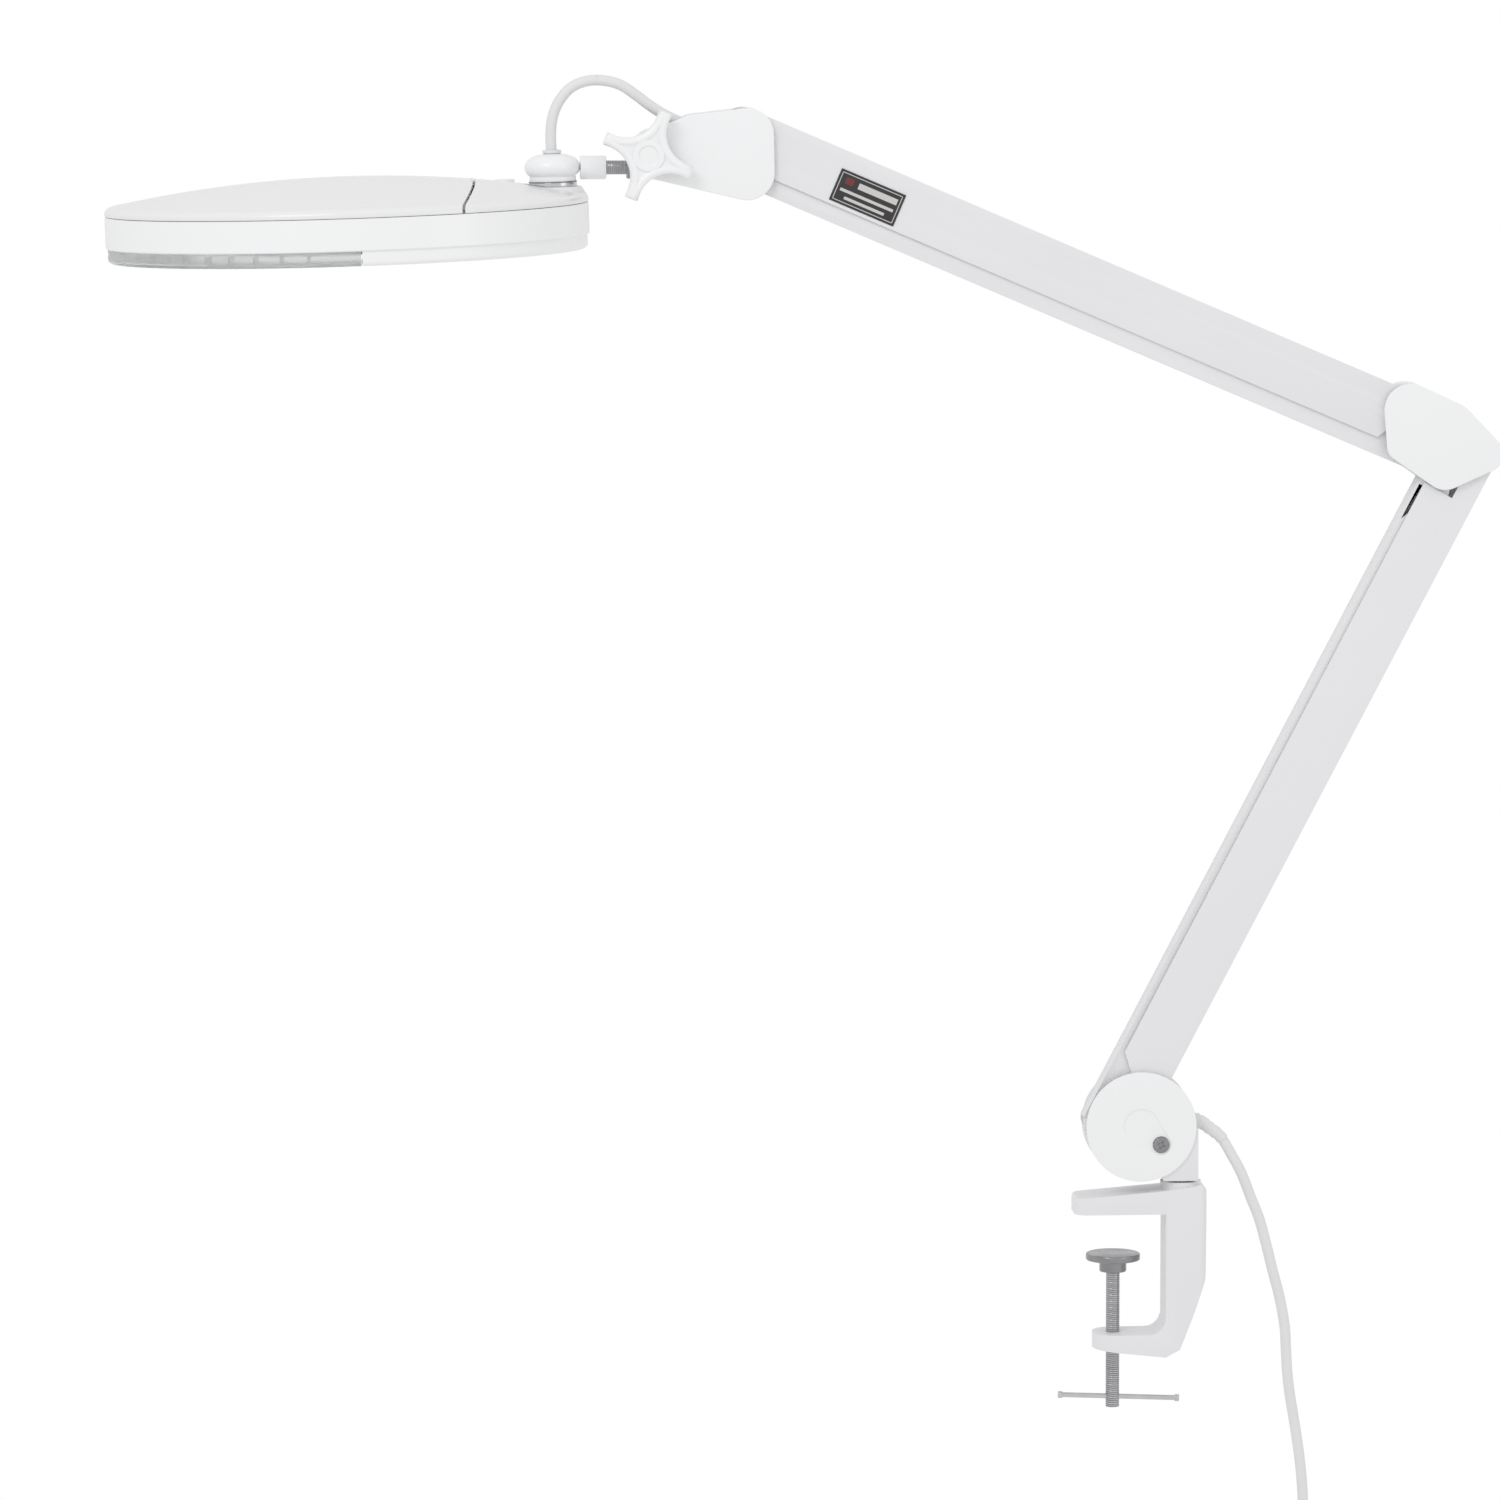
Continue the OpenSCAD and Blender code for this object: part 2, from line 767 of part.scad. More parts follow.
module neck_block() {
  color("silver") difference() {
    union() {
      cyl_y(knob_c, 2 * block_r, -block_w / 2, block_w / 2);
      translate([knob_c[0] - 11.5, -8, rod_z - 6.2]) cube([25, 16, 12]);
    }
    cyl_y(knob_c, bolt_d + 2 * run_fit, -30, 30);
    translate([knob_c[0] - 30, 0, rod_z]) rotate([0, 90, 0]) cylinder(d = rod_d + 2 * run_fit, h = 60);
  }
}

module neck_rod() {
  color("silver") translate([knob_c[0] - rod_out - 2, 0, rod_z]) rotate([0, 90, 0]) {
    cylinder(d = rod_d, h = rod_out + 2 + 14);
    translate([0, 0, rod_out + 2 + 14]) cylinder(d = rod_d + 3, h = 2);
  }
}

// Flattened ball as a ring of straight bands
function ball_profile() = [
  for (i = [0 : 16])
    let (a = -90 + 180 * i / 16)
    [ball_r * pow(cos(a), 0.75), (ball_lo + ball_hi) / 2 + (ball_hi - ball_lo) / 2 * sin(a)]
];

module ball_housing() {
  color("white") difference() {
    union() {
      swivel_frame() rotate_extrude() polygon(concat(ball_profile(), [[0, ball_hi], [0, ball_lo]]));
      swivel_frame() translate([0, 0, ball_lo]) cylinder(r = ball_foot_r, h = ball_foot_t);
      translate([knob_c[0] - rod_out - spout_len + 0.6, 0, rod_z]) rotate([0, 90, 0]) cylinder(d = spout_d, h = spout_len);
    }
    swivel_frame() translate([0, 0, 0]) cylinder(d = stem_d + 2 * run_fit, h = 22);
    swivel_frame() cylinder(d = cable_bore, h = 40);
    translate([knob_c[0] - rod_out - 2, 0, rod_z]) rotate([0, 90, 0]) cylinder(d = rod_d, h = 20);
  }
}

module ball_washer() {
  color("silver") swivel_frame() ring_z(ball_foot_r + 0.5, stem_d / 2 + 1, ball_lo - ball_washer_t, ball_lo);
}

module cable_gland() {
  color("whitesmoke") swivel_frame() ring_z(5.4, cable_bore / 2, ball_hi, ball_hi + 2);
}

// ---------- head ----------

function dome(r) = dome_h - dome_k * r * r;

// Dome shell with its rim, solid of revolution
module dome_shell() {
  n = 14;
  r_top = head_r - 2.5;
  rotate_extrude($fn = 120) polygon(concat(
    [for (i = [0 : n]) let (r = r_top * i / n) [r, dome(r)]],
    [[head_r - 0.8, dome(r_top) - 1], [head_r, dome(r_top) - 3], [head_r, 0.3], [head_r - shell_t, 0.3]],
    [[head_r - shell_t, dome(r_top) - 3]],
    [for (i = [n - 1 : -1 : 0]) let (r = r_top * i / n) [r, dome(r) - shell_t]]
  ));
}

// Everything behind the gently curved rear edge of the lens cover
module behind_edge(gap) {
  difference() {
    translate([0, -head_r - 5, -30]) cube([head_r + 5, 2 * head_r + 10, 80]);
    translate([edge_s - edge_arc_r, 0, -31]) cylinder(r = edge_arc_r + gap, h = 90, $fn = 360);
  }
}

module head_shell() {
  color("white") head_frame() difference() {
    union() {
      ring_z(head_r, head_r - shell_t, -wall_h, 0);
      ring_z(head_r - 1, well_r, -shell_t, 0);
      ring_z(well_r + shell_t, well_r, -wall_h - 4, 0);
      ring_z(well_r + 1, well_r - 4, lens_z - lens_edge_t / 2 - ledge_t, lens_z - lens_edge_t / 2 - ledge_drop);
    }
    translate([swivel_s, 0, -10]) cylinder(d = stem_d, h = 20);
  }
}

// Fixed barrels of the cover's hinge, each on a tab from the rear shell
module rear_knuckles() {
  for (side = [-1, 1]) difference() {
    union() {
      rotate([90, 0, 0]) translate([hinge_s, hinge_z, side > 0 ? hinge_half / 2 + 0.2 : -hinge_half])
        cylinder(r = hinge_r, h = hinge_half / 2 - 0.2);
      translate([hinge_s, side > 0 ? -hinge_half : hinge_half / 2 + 0.2, hinge_z - 1.2])
        cube([5, hinge_half / 2 - 0.2, 1.6]);
    }
    rotate([90, 0, 0]) translate([hinge_s, hinge_z, -hinge_half - 1])
      cylinder(d = hinge_pin_d + 2 * run_fit, h = 2 * hinge_half + 2);
  }
}

module rear_shell() {
  color("white") head_frame() {
    rear_knuckles();
    rear_dome();
  }
}

module rear_dome() {
  difference() {
    union() {
      intersection() {
        dome_shell();
        behind_edge(edge_gap);
      }
      intersection() {
        rotate_extrude($fn = 120) polygon([[0, 0], [head_r - 2, 0], [head_r - 2, dome(head_r - 2) - 2], [100, dome(100) - 1],
          [60, dome(60) - 1], [0, dome(0) - 1]]);
        difference() {
          behind_edge(edge_gap);
          translate([shell_t, 0, 0]) behind_edge(edge_gap);
        }
      }
      intersection() {
        translate([swivel_s, 0, 0]) cylinder(r1 = 22, r2 = 16, h = boss_z);
        cylinder(r = head_r - 0.3, h = 20);
      }
    }
    translate([swivel_s, 0, -1]) cylinder(d = stem_d, h = 20);
    translate([swivel_s, 0, boss_z]) cylinder(r = boss_seat_r, h = 30);
    translate([button_at[0], button_at[1], -1]) cylinder(d = button_d + 0.6, h = 30);
    translate([0, 0, hinge_z]) rotate([90, 0, 0]) translate([hinge_s, 0, -hinge_half - 0.4])
      cylinder(r = hinge_r + 0.3, h = 2 * hinge_half + 0.8);
  }
}

module swivel_stem() {
  color("silver") swivel_frame() ring_z(stem_d / 2, cable_bore / 2, -8, 21.8);
}

module stem_nut() {
  color("silver") swivel_frame() translate([0, 0, -shell_t - 5]) difference() {
    cylinder(d = 20, h = 5, $fn = 6);
    translate([0, 0, -1]) cylinder(d = stem_d, h = 7);
  }
}

module wave_washer() {
  color("silver") swivel_frame() ring_z(ball_foot_r + 0.5, 10, boss_z, ball_lo - ball_washer_t);
}

// Lower ring of the head, as one of two half rings meeting across the head
module half_ring(front) {
  x0 = front ? -head_r - 1 : rim_split + 0.6;
  x1 = front ? rim_split : head_r + 1;
  bottom = -wall_h - skirt_h;
  intersection() {
    union() {
      ring_z(head_r - 1.2, head_r - 1.2 - shell_t, bottom, -wall_h);
      ring_z(head_r - 2, well_r + shell_t + 0.4, bottom, bottom + 2);
    }
    translate([x0, -head_r - 1, bottom - 1]) cube([x1 - x0, 2 * head_r + 2, skirt_h + 2]);
  }
}

module lower_rim() {
  color("white") head_frame() half_ring(false);
}

module diffuser() {
  color("lightgray", 0.6) head_frame() half_ring(true);
}

module lens() {
  sag = (lens_t - lens_edge_t) / 2;
  radius = (pow(lens_d / 2, 2) + pow(sag, 2)) / (2 * sag);
  n = 10;
  curve = [for (i = [0 : n]) let (r = lens_d / 2 * i / n) [r, sqrt(radius * radius - r * r) - radius + sag]];
  color("lightblue", 0.4) head_frame() translate([0, 0, lens_z]) rotate_extrude($fn = 96) polygon(concat(
    [for (i = [0 : n]) [curve[i][0], curve[i][1] + lens_edge_t / 2]],
    [for (i = [n : -1 : 0]) [curve[i][0], -curve[i][1] - lens_edge_t / 2]]
  ));
}

module led_board() {
  color("seagreen") head_frame() difference() {
    ring_z(head_r - 6, well_r + shell_t + 1, -shell_t - board_t, -shell_t);
    translate([swivel_s, 0, -shell_t - 5]) cylinder(r = nut_room_r, h = 6);
  }
}

module leds() {
  color("lightyellow") head_frame() for (i = [1 : led_count - 2]) rotate([0, 0, 360 * (i + 0.5) / led_count])
    translate([led_r - 2.5, -1.75, -shell_t - board_t - led_t]) cube([5, 3.5, led_t]);
}

module driver() {
  color("dimgray") head_frame() translate([well_r + 6, -60, 0]) cube([22, 20, 3]);
}

module switch_body() {
  color("dimgray") head_frame() translate([button_at[0] - 6, button_at[1] - 6, 0]) cube([12, 12, switch_h]);
}

module lens_cover() {
  color("white") head_frame() difference() {
    union() {
      difference() {
        dome_shell();
        behind_edge(0);
        rotate([90, 0, 0]) translate([hinge_s, hinge_z, -hinge_half - 0.4])
          cylinder(r = hinge_r + 0.3, h = 2 * hinge_half + 0.8);
      }
      rotate([90, 0, 0]) translate([hinge_s, hinge_z, -hinge_half / 2]) cylinder(r = hinge_r, h = hinge_half);
      translate([hinge_s - 4, -hinge_half / 2, hinge_z - 1.2]) cube([4, hinge_half, 1.6]);
    }
    rotate([90, 0, 0]) translate([hinge_s, hinge_z, -hinge_half]) cylinder(d = hinge_pin_d + 2 * run_fit, h = 2 * hinge_half);
  }
}

module hinge_pin() {
  color("silver") head_frame() rotate([90, 0, 0]) translate([hinge_s, hinge_z, -hinge_half])
    cylinder(d = hinge_pin_d, h = 2 * hinge_half);
}

module power_button() {
  top = dome(norm(button_at)) + button_travel;
  bottom = switch_h + switch_play + button_travel;
  color("gainsboro") head_frame() translate([button_at[0], button_at[1], bottom])
    cylinder(d = button_d, h = top - bottom);
}

clamp_body();
swivel_bush();
pressure_pad();
clamp_screw();
tommy_bar();
knuckle_bracket();
swivel_pin();
base_cover_front();
base_cover_rear();
base_cover_screws();
base_pivot_pins();
base_spacers();
strain_relief();
mains_cord();
cord_coil();
coil_tie();
mains_plug();
plug_blades();
lower_outer_channel();
lower_springs();
lower_inner_channel();
elbow_plates();
elbow_cover_front();
elbow_cover_rear();
elbow_pivot_pins();
elbow_spacers();
upper_outer_channel();
upper_springs();
label_plate();
upper_inner_channel();
head_plates();
head_cover_front();
head_cover_rear();
head_pivot_pins();
head_spacers();
tilt_bolt();
tilt_nut();
head_cable();
star_knob();
neck_block();
neck_rod();
ball_housing();
ball_washer();
cable_gland();
head_shell();
rear_shell();
swivel_stem();
stem_nut();
wave_washer();
lower_rim();
diffuser();
lens();
led_board();
leds();
driver();
switch_body();
lens_cover();
hinge_pin();
power_button();
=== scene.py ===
"""Looks of a clamp-on magnifier task lamp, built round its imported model."""

import json
import logging
import math
from dataclasses import dataclass
from enum import Enum
from typing import Iterable, Sequence

import bmesh
import bpy
from mathutils import Matrix, Vector

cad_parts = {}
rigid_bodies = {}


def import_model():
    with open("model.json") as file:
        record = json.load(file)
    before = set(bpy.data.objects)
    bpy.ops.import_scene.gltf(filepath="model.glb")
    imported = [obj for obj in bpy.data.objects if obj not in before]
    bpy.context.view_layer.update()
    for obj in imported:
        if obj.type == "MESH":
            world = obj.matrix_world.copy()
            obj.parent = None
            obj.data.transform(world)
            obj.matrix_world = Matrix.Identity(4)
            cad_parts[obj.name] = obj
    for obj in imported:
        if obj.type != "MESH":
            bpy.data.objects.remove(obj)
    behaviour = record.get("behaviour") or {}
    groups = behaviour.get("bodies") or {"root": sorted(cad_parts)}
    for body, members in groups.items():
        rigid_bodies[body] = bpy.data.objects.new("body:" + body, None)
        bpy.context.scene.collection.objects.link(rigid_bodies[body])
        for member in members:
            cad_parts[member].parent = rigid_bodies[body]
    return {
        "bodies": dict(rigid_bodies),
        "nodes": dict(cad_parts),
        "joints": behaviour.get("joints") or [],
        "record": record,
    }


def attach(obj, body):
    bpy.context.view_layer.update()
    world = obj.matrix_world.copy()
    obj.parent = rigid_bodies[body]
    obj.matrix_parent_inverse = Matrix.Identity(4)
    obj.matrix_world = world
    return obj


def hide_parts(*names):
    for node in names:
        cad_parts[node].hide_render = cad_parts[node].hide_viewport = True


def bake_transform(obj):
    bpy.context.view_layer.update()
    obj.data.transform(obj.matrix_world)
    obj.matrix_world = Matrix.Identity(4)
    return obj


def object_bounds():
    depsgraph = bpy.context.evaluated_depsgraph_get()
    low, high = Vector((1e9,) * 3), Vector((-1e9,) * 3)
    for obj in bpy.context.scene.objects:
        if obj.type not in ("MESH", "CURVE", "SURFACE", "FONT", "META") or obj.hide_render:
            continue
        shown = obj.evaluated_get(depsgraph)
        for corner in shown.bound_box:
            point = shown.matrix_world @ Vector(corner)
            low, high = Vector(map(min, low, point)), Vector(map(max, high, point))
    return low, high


logging.basicConfig(level=logging.INFO, format="%(message)s")
LOG = logging.getLogger("lamp")
MM = 0.001
Point = tuple[float, float]
Place = tuple[float, float, float]


# ---------------------------------------------------------------- finishes


class Slot(Enum):
    """The record's material slots."""

    COAT = "white_coat"
    MOULDING = "white_moulding"
    STEEL = "steel"
    NYLON = "nylon"
    CORD = "white_rubber"
    RUBBER = "black_rubber"
    BRASS = "brass"
    LABEL = "label_black"
    GLASS = "lens_glass"
    DIFFUSER = "diffuser"
    CIRCUIT = "circuit"
    LED = "led"
    DARK = "dark_plastic"


def link_bump(nodes: bpy.types.Nodes, links: bpy.types.NodeLinks, shader: bpy.types.Node, scale: float,
              distance: float, detail: float = 3.0) -> None:
    """Add a fine noise bump to a shader.

    Args:
        nodes: The material's nodes.
        links: The material's links.
        shader: The shader whose normal is driven.
        scale: Noise scale per metre.
        distance: Height of the bump in metres.
        detail: Octaves of the noise.
    """
    place = nodes.new("ShaderNodeTexCoord")
    noise = nodes.new("ShaderNodeTexNoise")
    noise.inputs["Scale"].default_value = scale
    noise.inputs["Detail"].default_value = detail
    bump = nodes.new("ShaderNodeBump")
    bump.inputs["Strength"].default_value = 1.0
    bump.inputs["Distance"].default_value = distance
    links.new(place.outputs["Object"], noise.inputs["Vector"])
    links.new(noise.outputs["Fac"], bump.inputs["Height"])
    links.new(bump.outputs["Normal"], shader.inputs["Normal"])


@dataclass(frozen=True)
class Finish:
    """A surface finish with its slot, colour variation, a roughness range and a fine bump."""

    name: str
    slot: Slot
    color: Place
    shade: Place
    roughness: Point
    metallic: float = 0.0
    specular: float = 0.5
    coat: float = 0.0
    patch_scale: float = 14.0
    grain_scale: float = 900.0
    grain_height: float = 0.00002
    transmission: float = 0.0
    ior: float = 1.5
    emission: float = 0.0

    def material(self) -> bpy.types.Material:
        """Build or fetch the Blender material.

        Returns:
            The material.
        """
        found = bpy.data.materials.get(self.name)
        if found:
            return found
        made = bpy.data.materials.new(self.name)
        made.use_nodes = True
        nodes, links = made.node_tree.nodes, made.node_tree.links
        shader = nodes["Principled BSDF"]
        place = nodes.new("ShaderNodeTexCoord")
        patches = nodes.new("ShaderNodeTexNoise")
        patches.inputs["Scale"].default_value = self.patch_scale
        patches.inputs["Detail"].default_value = 4.0
        tint = nodes.new("ShaderNodeMix")
        tint.data_type = "RGBA"
        tint.inputs["A"].default_value = (*self.color, 1.0)
        tint.inputs["B"].default_value = (*self.shade, 1.0)
        rough = nodes.new("ShaderNodeMapRange")
        rough.inputs["To Min"].default_value = self.roughness[0]
        rough.inputs["To Max"].default_value = self.roughness[1]
        links.new(place.outputs["Object"], patches.inputs["Vector"])
        links.new(patches.outputs["Fac"], tint.inputs["Factor"])
        links.new(patches.outputs["Fac"], rough.inputs["Value"])
        links.new(tint.outputs["Result"], shader.inputs["Base Color"])
        links.new(rough.outputs["Result"], shader.inputs["Roughness"])
        shader.inputs["Metallic"].default_value = self.metallic
        shader.inputs["Specular IOR Level"].default_value = self.specular
        shader.inputs["Coat Weight"].default_value = self.coat
        shader.inputs["Coat Roughness"].default_value = 0.12
        shader.inputs["IOR"].default_value = self.ior
        shader.inputs["Transmission Weight"].default_value = self.transmission
        if self.emission:
            shader.inputs["Emission Color"].default_value = (*self.color, 1.0)
            shader.inputs["Emission Strength"].default_value = self.emission
        link_bump(nodes, links, shader, self.grain_scale, self.grain_height)
        return made


WHITE_COAT = Finish("white_powder_coat", Slot.COAT, (0.83, 0.83, 0.845), (0.80, 0.80, 0.82),
                    (0.34, 0.46), coat=0.10, grain_scale=1400.0, grain_height=0.000014)
WHITE_MOULDING = Finish("white_moulding", Slot.MOULDING, (0.84, 0.84, 0.85), (0.82, 0.82, 0.835),
                        (0.26, 0.36), coat=0.18, grain_scale=2200.0, grain_height=0.000006)
LID_MOULDING = Finish("lid_moulding", Slot.MOULDING, (0.85, 0.85, 0.85), (0.83, 0.83, 0.835),
                      (0.22, 0.31), coat=0.25, grain_scale=1800.0, grain_height=0.000004, patch_scale=6.0)
ZINC_STEEL = Finish("zinc_steel", Slot.STEEL, (0.42, 0.42, 0.43), (0.20, 0.20, 0.21), (0.14, 0.32),
                    metallic=1.0, patch_scale=90.0, grain_scale=2600.0, grain_height=0.000012)
BRIGHT_STEEL = Finish("bright_steel", Slot.STEEL, (0.70, 0.70, 0.71), (0.55, 0.55, 0.56), (0.14, 0.26),
                      metallic=1.0, patch_scale=120.0, grain_scale=3000.0, grain_height=0.000006)
NYLON = Finish("natural_nylon", Slot.NYLON, (0.74, 0.74, 0.71), (0.70, 0.70, 0.67), (0.45, 0.6))
CORD_SHEATH = Finish("cord_sheath", Slot.CORD, (0.80, 0.80, 0.81), (0.76, 0.76, 0.77), (0.38, 0.5),
                     patch_scale=40.0, grain_scale=1600.0, grain_height=0.00002)
BLACK_RUBBER = Finish("black_rubber", Slot.RUBBER, (0.02, 0.02, 0.02), (0.035, 0.035, 0.035),
                      (0.55, 0.7), patch_scale=60.0)
BRASS_FINISH = Finish("bright_brass", Slot.BRASS, (0.78, 0.60, 0.28), (0.66, 0.48, 0.2), (0.2, 0.35),
                      metallic=1.0)
LABEL_FILM = Finish("label_film", Slot.LABEL, (0.012, 0.012, 0.013), (0.02, 0.02, 0.022), (0.22, 0.32),
                    coat=0.4)
LABEL_PRINT = Finish("label_print", Slot.LABEL, (0.66, 0.64, 0.63), (0.56, 0.54, 0.53), (0.3, 0.4))
LABEL_ACCENT = Finish("label_accent", Slot.LABEL, (0.20, 0.03, 0.03), (0.15, 0.025, 0.025), (0.3, 0.4))
LENS_GLASS = Finish("lens_glass", Slot.GLASS, (0.96, 0.985, 0.98), (0.95, 0.98, 0.975), (0.01, 0.03),
                    transmission=1.0, ior=1.52, grain_height=0.0)
SKIRT_PLASTIC = Finish("diffuser_plastic", Slot.DIFFUSER, (0.97, 0.98, 0.98), (0.93, 0.945, 0.95),
                       (0.16, 0.26), transmission=0.78, ior=1.30, grain_scale=700.0, grain_height=0.00005)
SOLDER_MASK = Finish("board_white", Slot.CIRCUIT, (0.78, 0.79, 0.77), (0.72, 0.73, 0.71), (0.3, 0.45))
PHOSPHOR = Finish("led_phosphor", Slot.LED, (0.92, 0.82, 0.42), (0.88, 0.76, 0.36), (0.3, 0.4))
DARK_PLASTIC = Finish("dark_plastic", Slot.DARK, (0.03, 0.03, 0.033), (0.05, 0.05, 0.053), (0.4, 0.55))


# ---------------------------------------------------------------- mesh helpers


def object_from(name: str, vertices: Sequence, faces: Sequence) -> bpy.types.Object:
    """Make a mesh object from vertices and faces.

    Args:
        name: The object's name.
        vertices: Points in metres.
        faces: Tuples of vertex numbers.

    Returns:
        The object, linked to the scene.
    """
    mesh = bpy.data.meshes.new(name)
    mesh.from_pydata([tuple(v) for v in vertices], [], [tuple(f) for f in faces])
    mesh.validate()
    made = bpy.data.objects.new(name, mesh)
    bpy.context.scene.collection.objects.link(made)
    return made


def outward(piece: bpy.types.Object, merge: float = 1e-6) -> bpy.types.Object:
    """Merge doubles and point every face outwards.

    Args:
        piece: The mesh object.
        merge: How close two points are to be one.

    Returns:
        The same object.
    """
    work = bmesh.new()
    work.from_mesh(piece.data)
    bmesh.ops.remove_doubles(work, verts=work.verts, dist=merge)
    bmesh.ops.recalc_face_normals(work, faces=work.faces)
    work.to_mesh(piece.data)
    work.free()
    return piece


def shade(piece: bpy.types.Object, angle: float = 32.0) -> bpy.types.Object:
    """Smooth the shading below an angle and keep sharper edges.

    Args:
        piece: The mesh object.
        angle: Edges sharper than this, in degrees, stay sharp.

    Returns:
        The same object.
    """
    piece.data.polygons.foreach_set("use_smooth", [True] * len(piece.data.polygons))
    piece.data.set_sharp_from_angle(angle=math.radians(angle))
    return piece


def apply_modifiers(piece: bpy.types.Object) -> bpy.types.Object:
    """Turn a piece with modifiers into a plain mesh.

    Args:
        piece: The object.

    Returns:
        The same object.
    """
    bpy.context.view_layer.update()
    evaluated = piece.evaluated_get(bpy.context.evaluated_depsgraph_get())
    mesh = bpy.data.meshes.new_from_object(evaluated)
    piece.modifiers.clear()
    piece.data = mesh
    return piece


def coat(piece: bpy.types.Object, finish: Finish) -> None:
    """Give a piece its material."""
    piece.data.materials.clear()
    piece.data.materials.append(finish.material())


def dress(piece: bpy.types.Object, finish: Finish, body: str, stands_for: Iterable[str] = ()) -> None:
    """Give a finished piece its material, body and the nodes that it stands for.

    Args:
        piece: The finished mesh object.
        finish: Its finish.
        body: The body that it moves with.
        stands_for: Nodes that it replaces.
    """
    coat(piece, finish)
    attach(piece, body)
    if stands_for:
        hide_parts(*stands_for)
    LOG.info("%s: %d faces on %s", piece.name, len(piece.data.polygons), body)


def softened(node: str, name: str, width: float, segments: int = 3, angle: float = 35.0) -> bpy.types.Object:
    """Copy a node's mesh, merge it, clean its flats and round its edges.

    Args:
        node: The node to copy.
        name: The new object's name.
        width: Radius of the rounding in metres.
        segments: Steps of the rounding.
        angle: Edges sharper than this, in degrees, are rounded.

    Returns:
        The new object, unturned at the origin.
    """
    source = bpy.data.objects[node]
    made = bpy.data.objects.new(name, source.data.copy())
    bpy.context.scene.collection.objects.link(made)
    work = bmesh.new()
    work.from_mesh(made.data)
    bmesh.ops.remove_doubles(work, verts=work.verts, dist=2e-6)
    bmesh.ops.dissolve_limit(work, angle_limit=math.radians(0.6), verts=work.verts, edges=work.edges)
    bmesh.ops.recalc_face_normals(work, faces=work.faces)
    work.to_mesh(made.data)
    work.free()
    bevel = made.modifiers.new("edge", "BEVEL")
    bevel.width = width
    bevel.segments = segments
    bevel.limit_method = "ANGLE"
    bevel.angle_limit = math.radians(angle)
    bevel.use_clamp_overlap = True
    bevel.miter_outer = "MITER_ARC"
    apply_modifiers(made)
    return shade(made, 40.0)


def lathe(name: str, profile: Sequence[Point], steps: int = 96) -> bpy.types.Object:
    """Turn a closed profile round the Z axis.

    Args:
        name: The object's name.
        profile: Radius and height points, in metres, as a closed loop.
        steps: Steps round the axis.

    Returns:
        The object, with its faces outwards.
    """
    count = len(profile)
    vertices, faces = [], []
    for i in range(steps):
        turn = 2 * math.pi * i / steps
        vertices += [(r * math.cos(turn), r * math.sin(turn), z) for r, z in profile]
    for i in range(steps):
        j = (i + 1) % steps
        for k in range(count):
            m = (k + 1) % count
            if profile[k][0] < 1e-9 and profile[m][0] < 1e-9:
                continue
            faces.append((i * count + k, j * count + k, j * count + m, i * count + m))
    return outward(object_from(name, vertices, faces))


def arc_points(centre: Point, radius: float, start: float, end: float, steps: int) -> list[Point]:
    """Points along an arc.

    Args:
        centre: The arc's centre.
        radius: Its radius.
        start: Where it starts, in degrees.
        end: Where it ends.
        steps: How many steps.

    Returns:
        The points.
    """
    return [(centre[0] + radius * math.cos(math.radians(start + (end - start) * i / steps)),
             centre[1] + radius * math.sin(math.radians(start + (end - start) * i / steps)))
            for i in range(steps + 1)]


def cut(piece: bpy.types.Object, cutter: bpy.types.Object, operation: str = "DIFFERENCE") -> bpy.types.Object:
    """Cut a piece with another and remove the cutter.

    Args:
        piece: The piece to cut.
        cutter: The tool, deleted afterwards.
        operation: The boolean operation.

    Returns:
        The cut piece.
    """
    tool = piece.modifiers.new("cut", "BOOLEAN")
    tool.operation = operation
    tool.object = cutter
    tool.solver = "EXACT"
    apply_modifiers(piece)
    bpy.data.objects.remove(cutter)
    return piece


def rounded(piece: bpy.types.Object, width: float) -> bpy.types.Object:
    """Round a piece's sharp edges.

    Args:
        piece: The mesh object.
        width: Radius of the rounding in metres.

    Returns:
        The same object.
    """
    bevel = piece.modifiers.new("edge", "BEVEL")
    bevel.width = width
    bevel.segments = 3
    bevel.limit_method = "ANGLE"
    bevel.angle_limit = math.radians(40.0)
    apply_modifiers(piece)
    return shade(piece, 40.0)


def circle_points(centre: Vector, one: Vector, other: Vector, radius: float, sides: int) -> list[Vector]:
    """Points of a circle spanned by two directions.

    Args:
        centre: The circle's middle.
        one: Direction of the first point.
        other: Direction a quarter turn on.
        radius: The circle's radius.
        sides: How many points.

    Returns:
        The points.
    """
    turns = [2 * math.pi * k / sides for k in range(sides)]
    return [centre + (one * math.cos(turn) + other * math.sin(turn)) * radius for turn in turns]


def skin(name: str, rings: Sequence[Sequence[Vector]]) -> bpy.types.Object:
    """Skin closed rings that have equal numbers of points, and close both ends.

    Args:
        name: The object's name.
        rings: The rings in order.

    Returns:
        The object, with its faces outwards.
    """
    count, last = len(rings[0]), len(rings) - 1
    vertices = [point for ring in rings for point in ring]
    faces = []
    for i in range(last):
        for k in range(count):
            m = (k + 1) % count
            faces.append((i * count + k, i * count + m, (i + 1) * count + m, (i + 1) * count + k))
    faces.append(tuple(range(count))[::-1])
    faces.append(tuple(last * count + k for k in range(count)))
    return outward(object_from(name, vertices, faces))


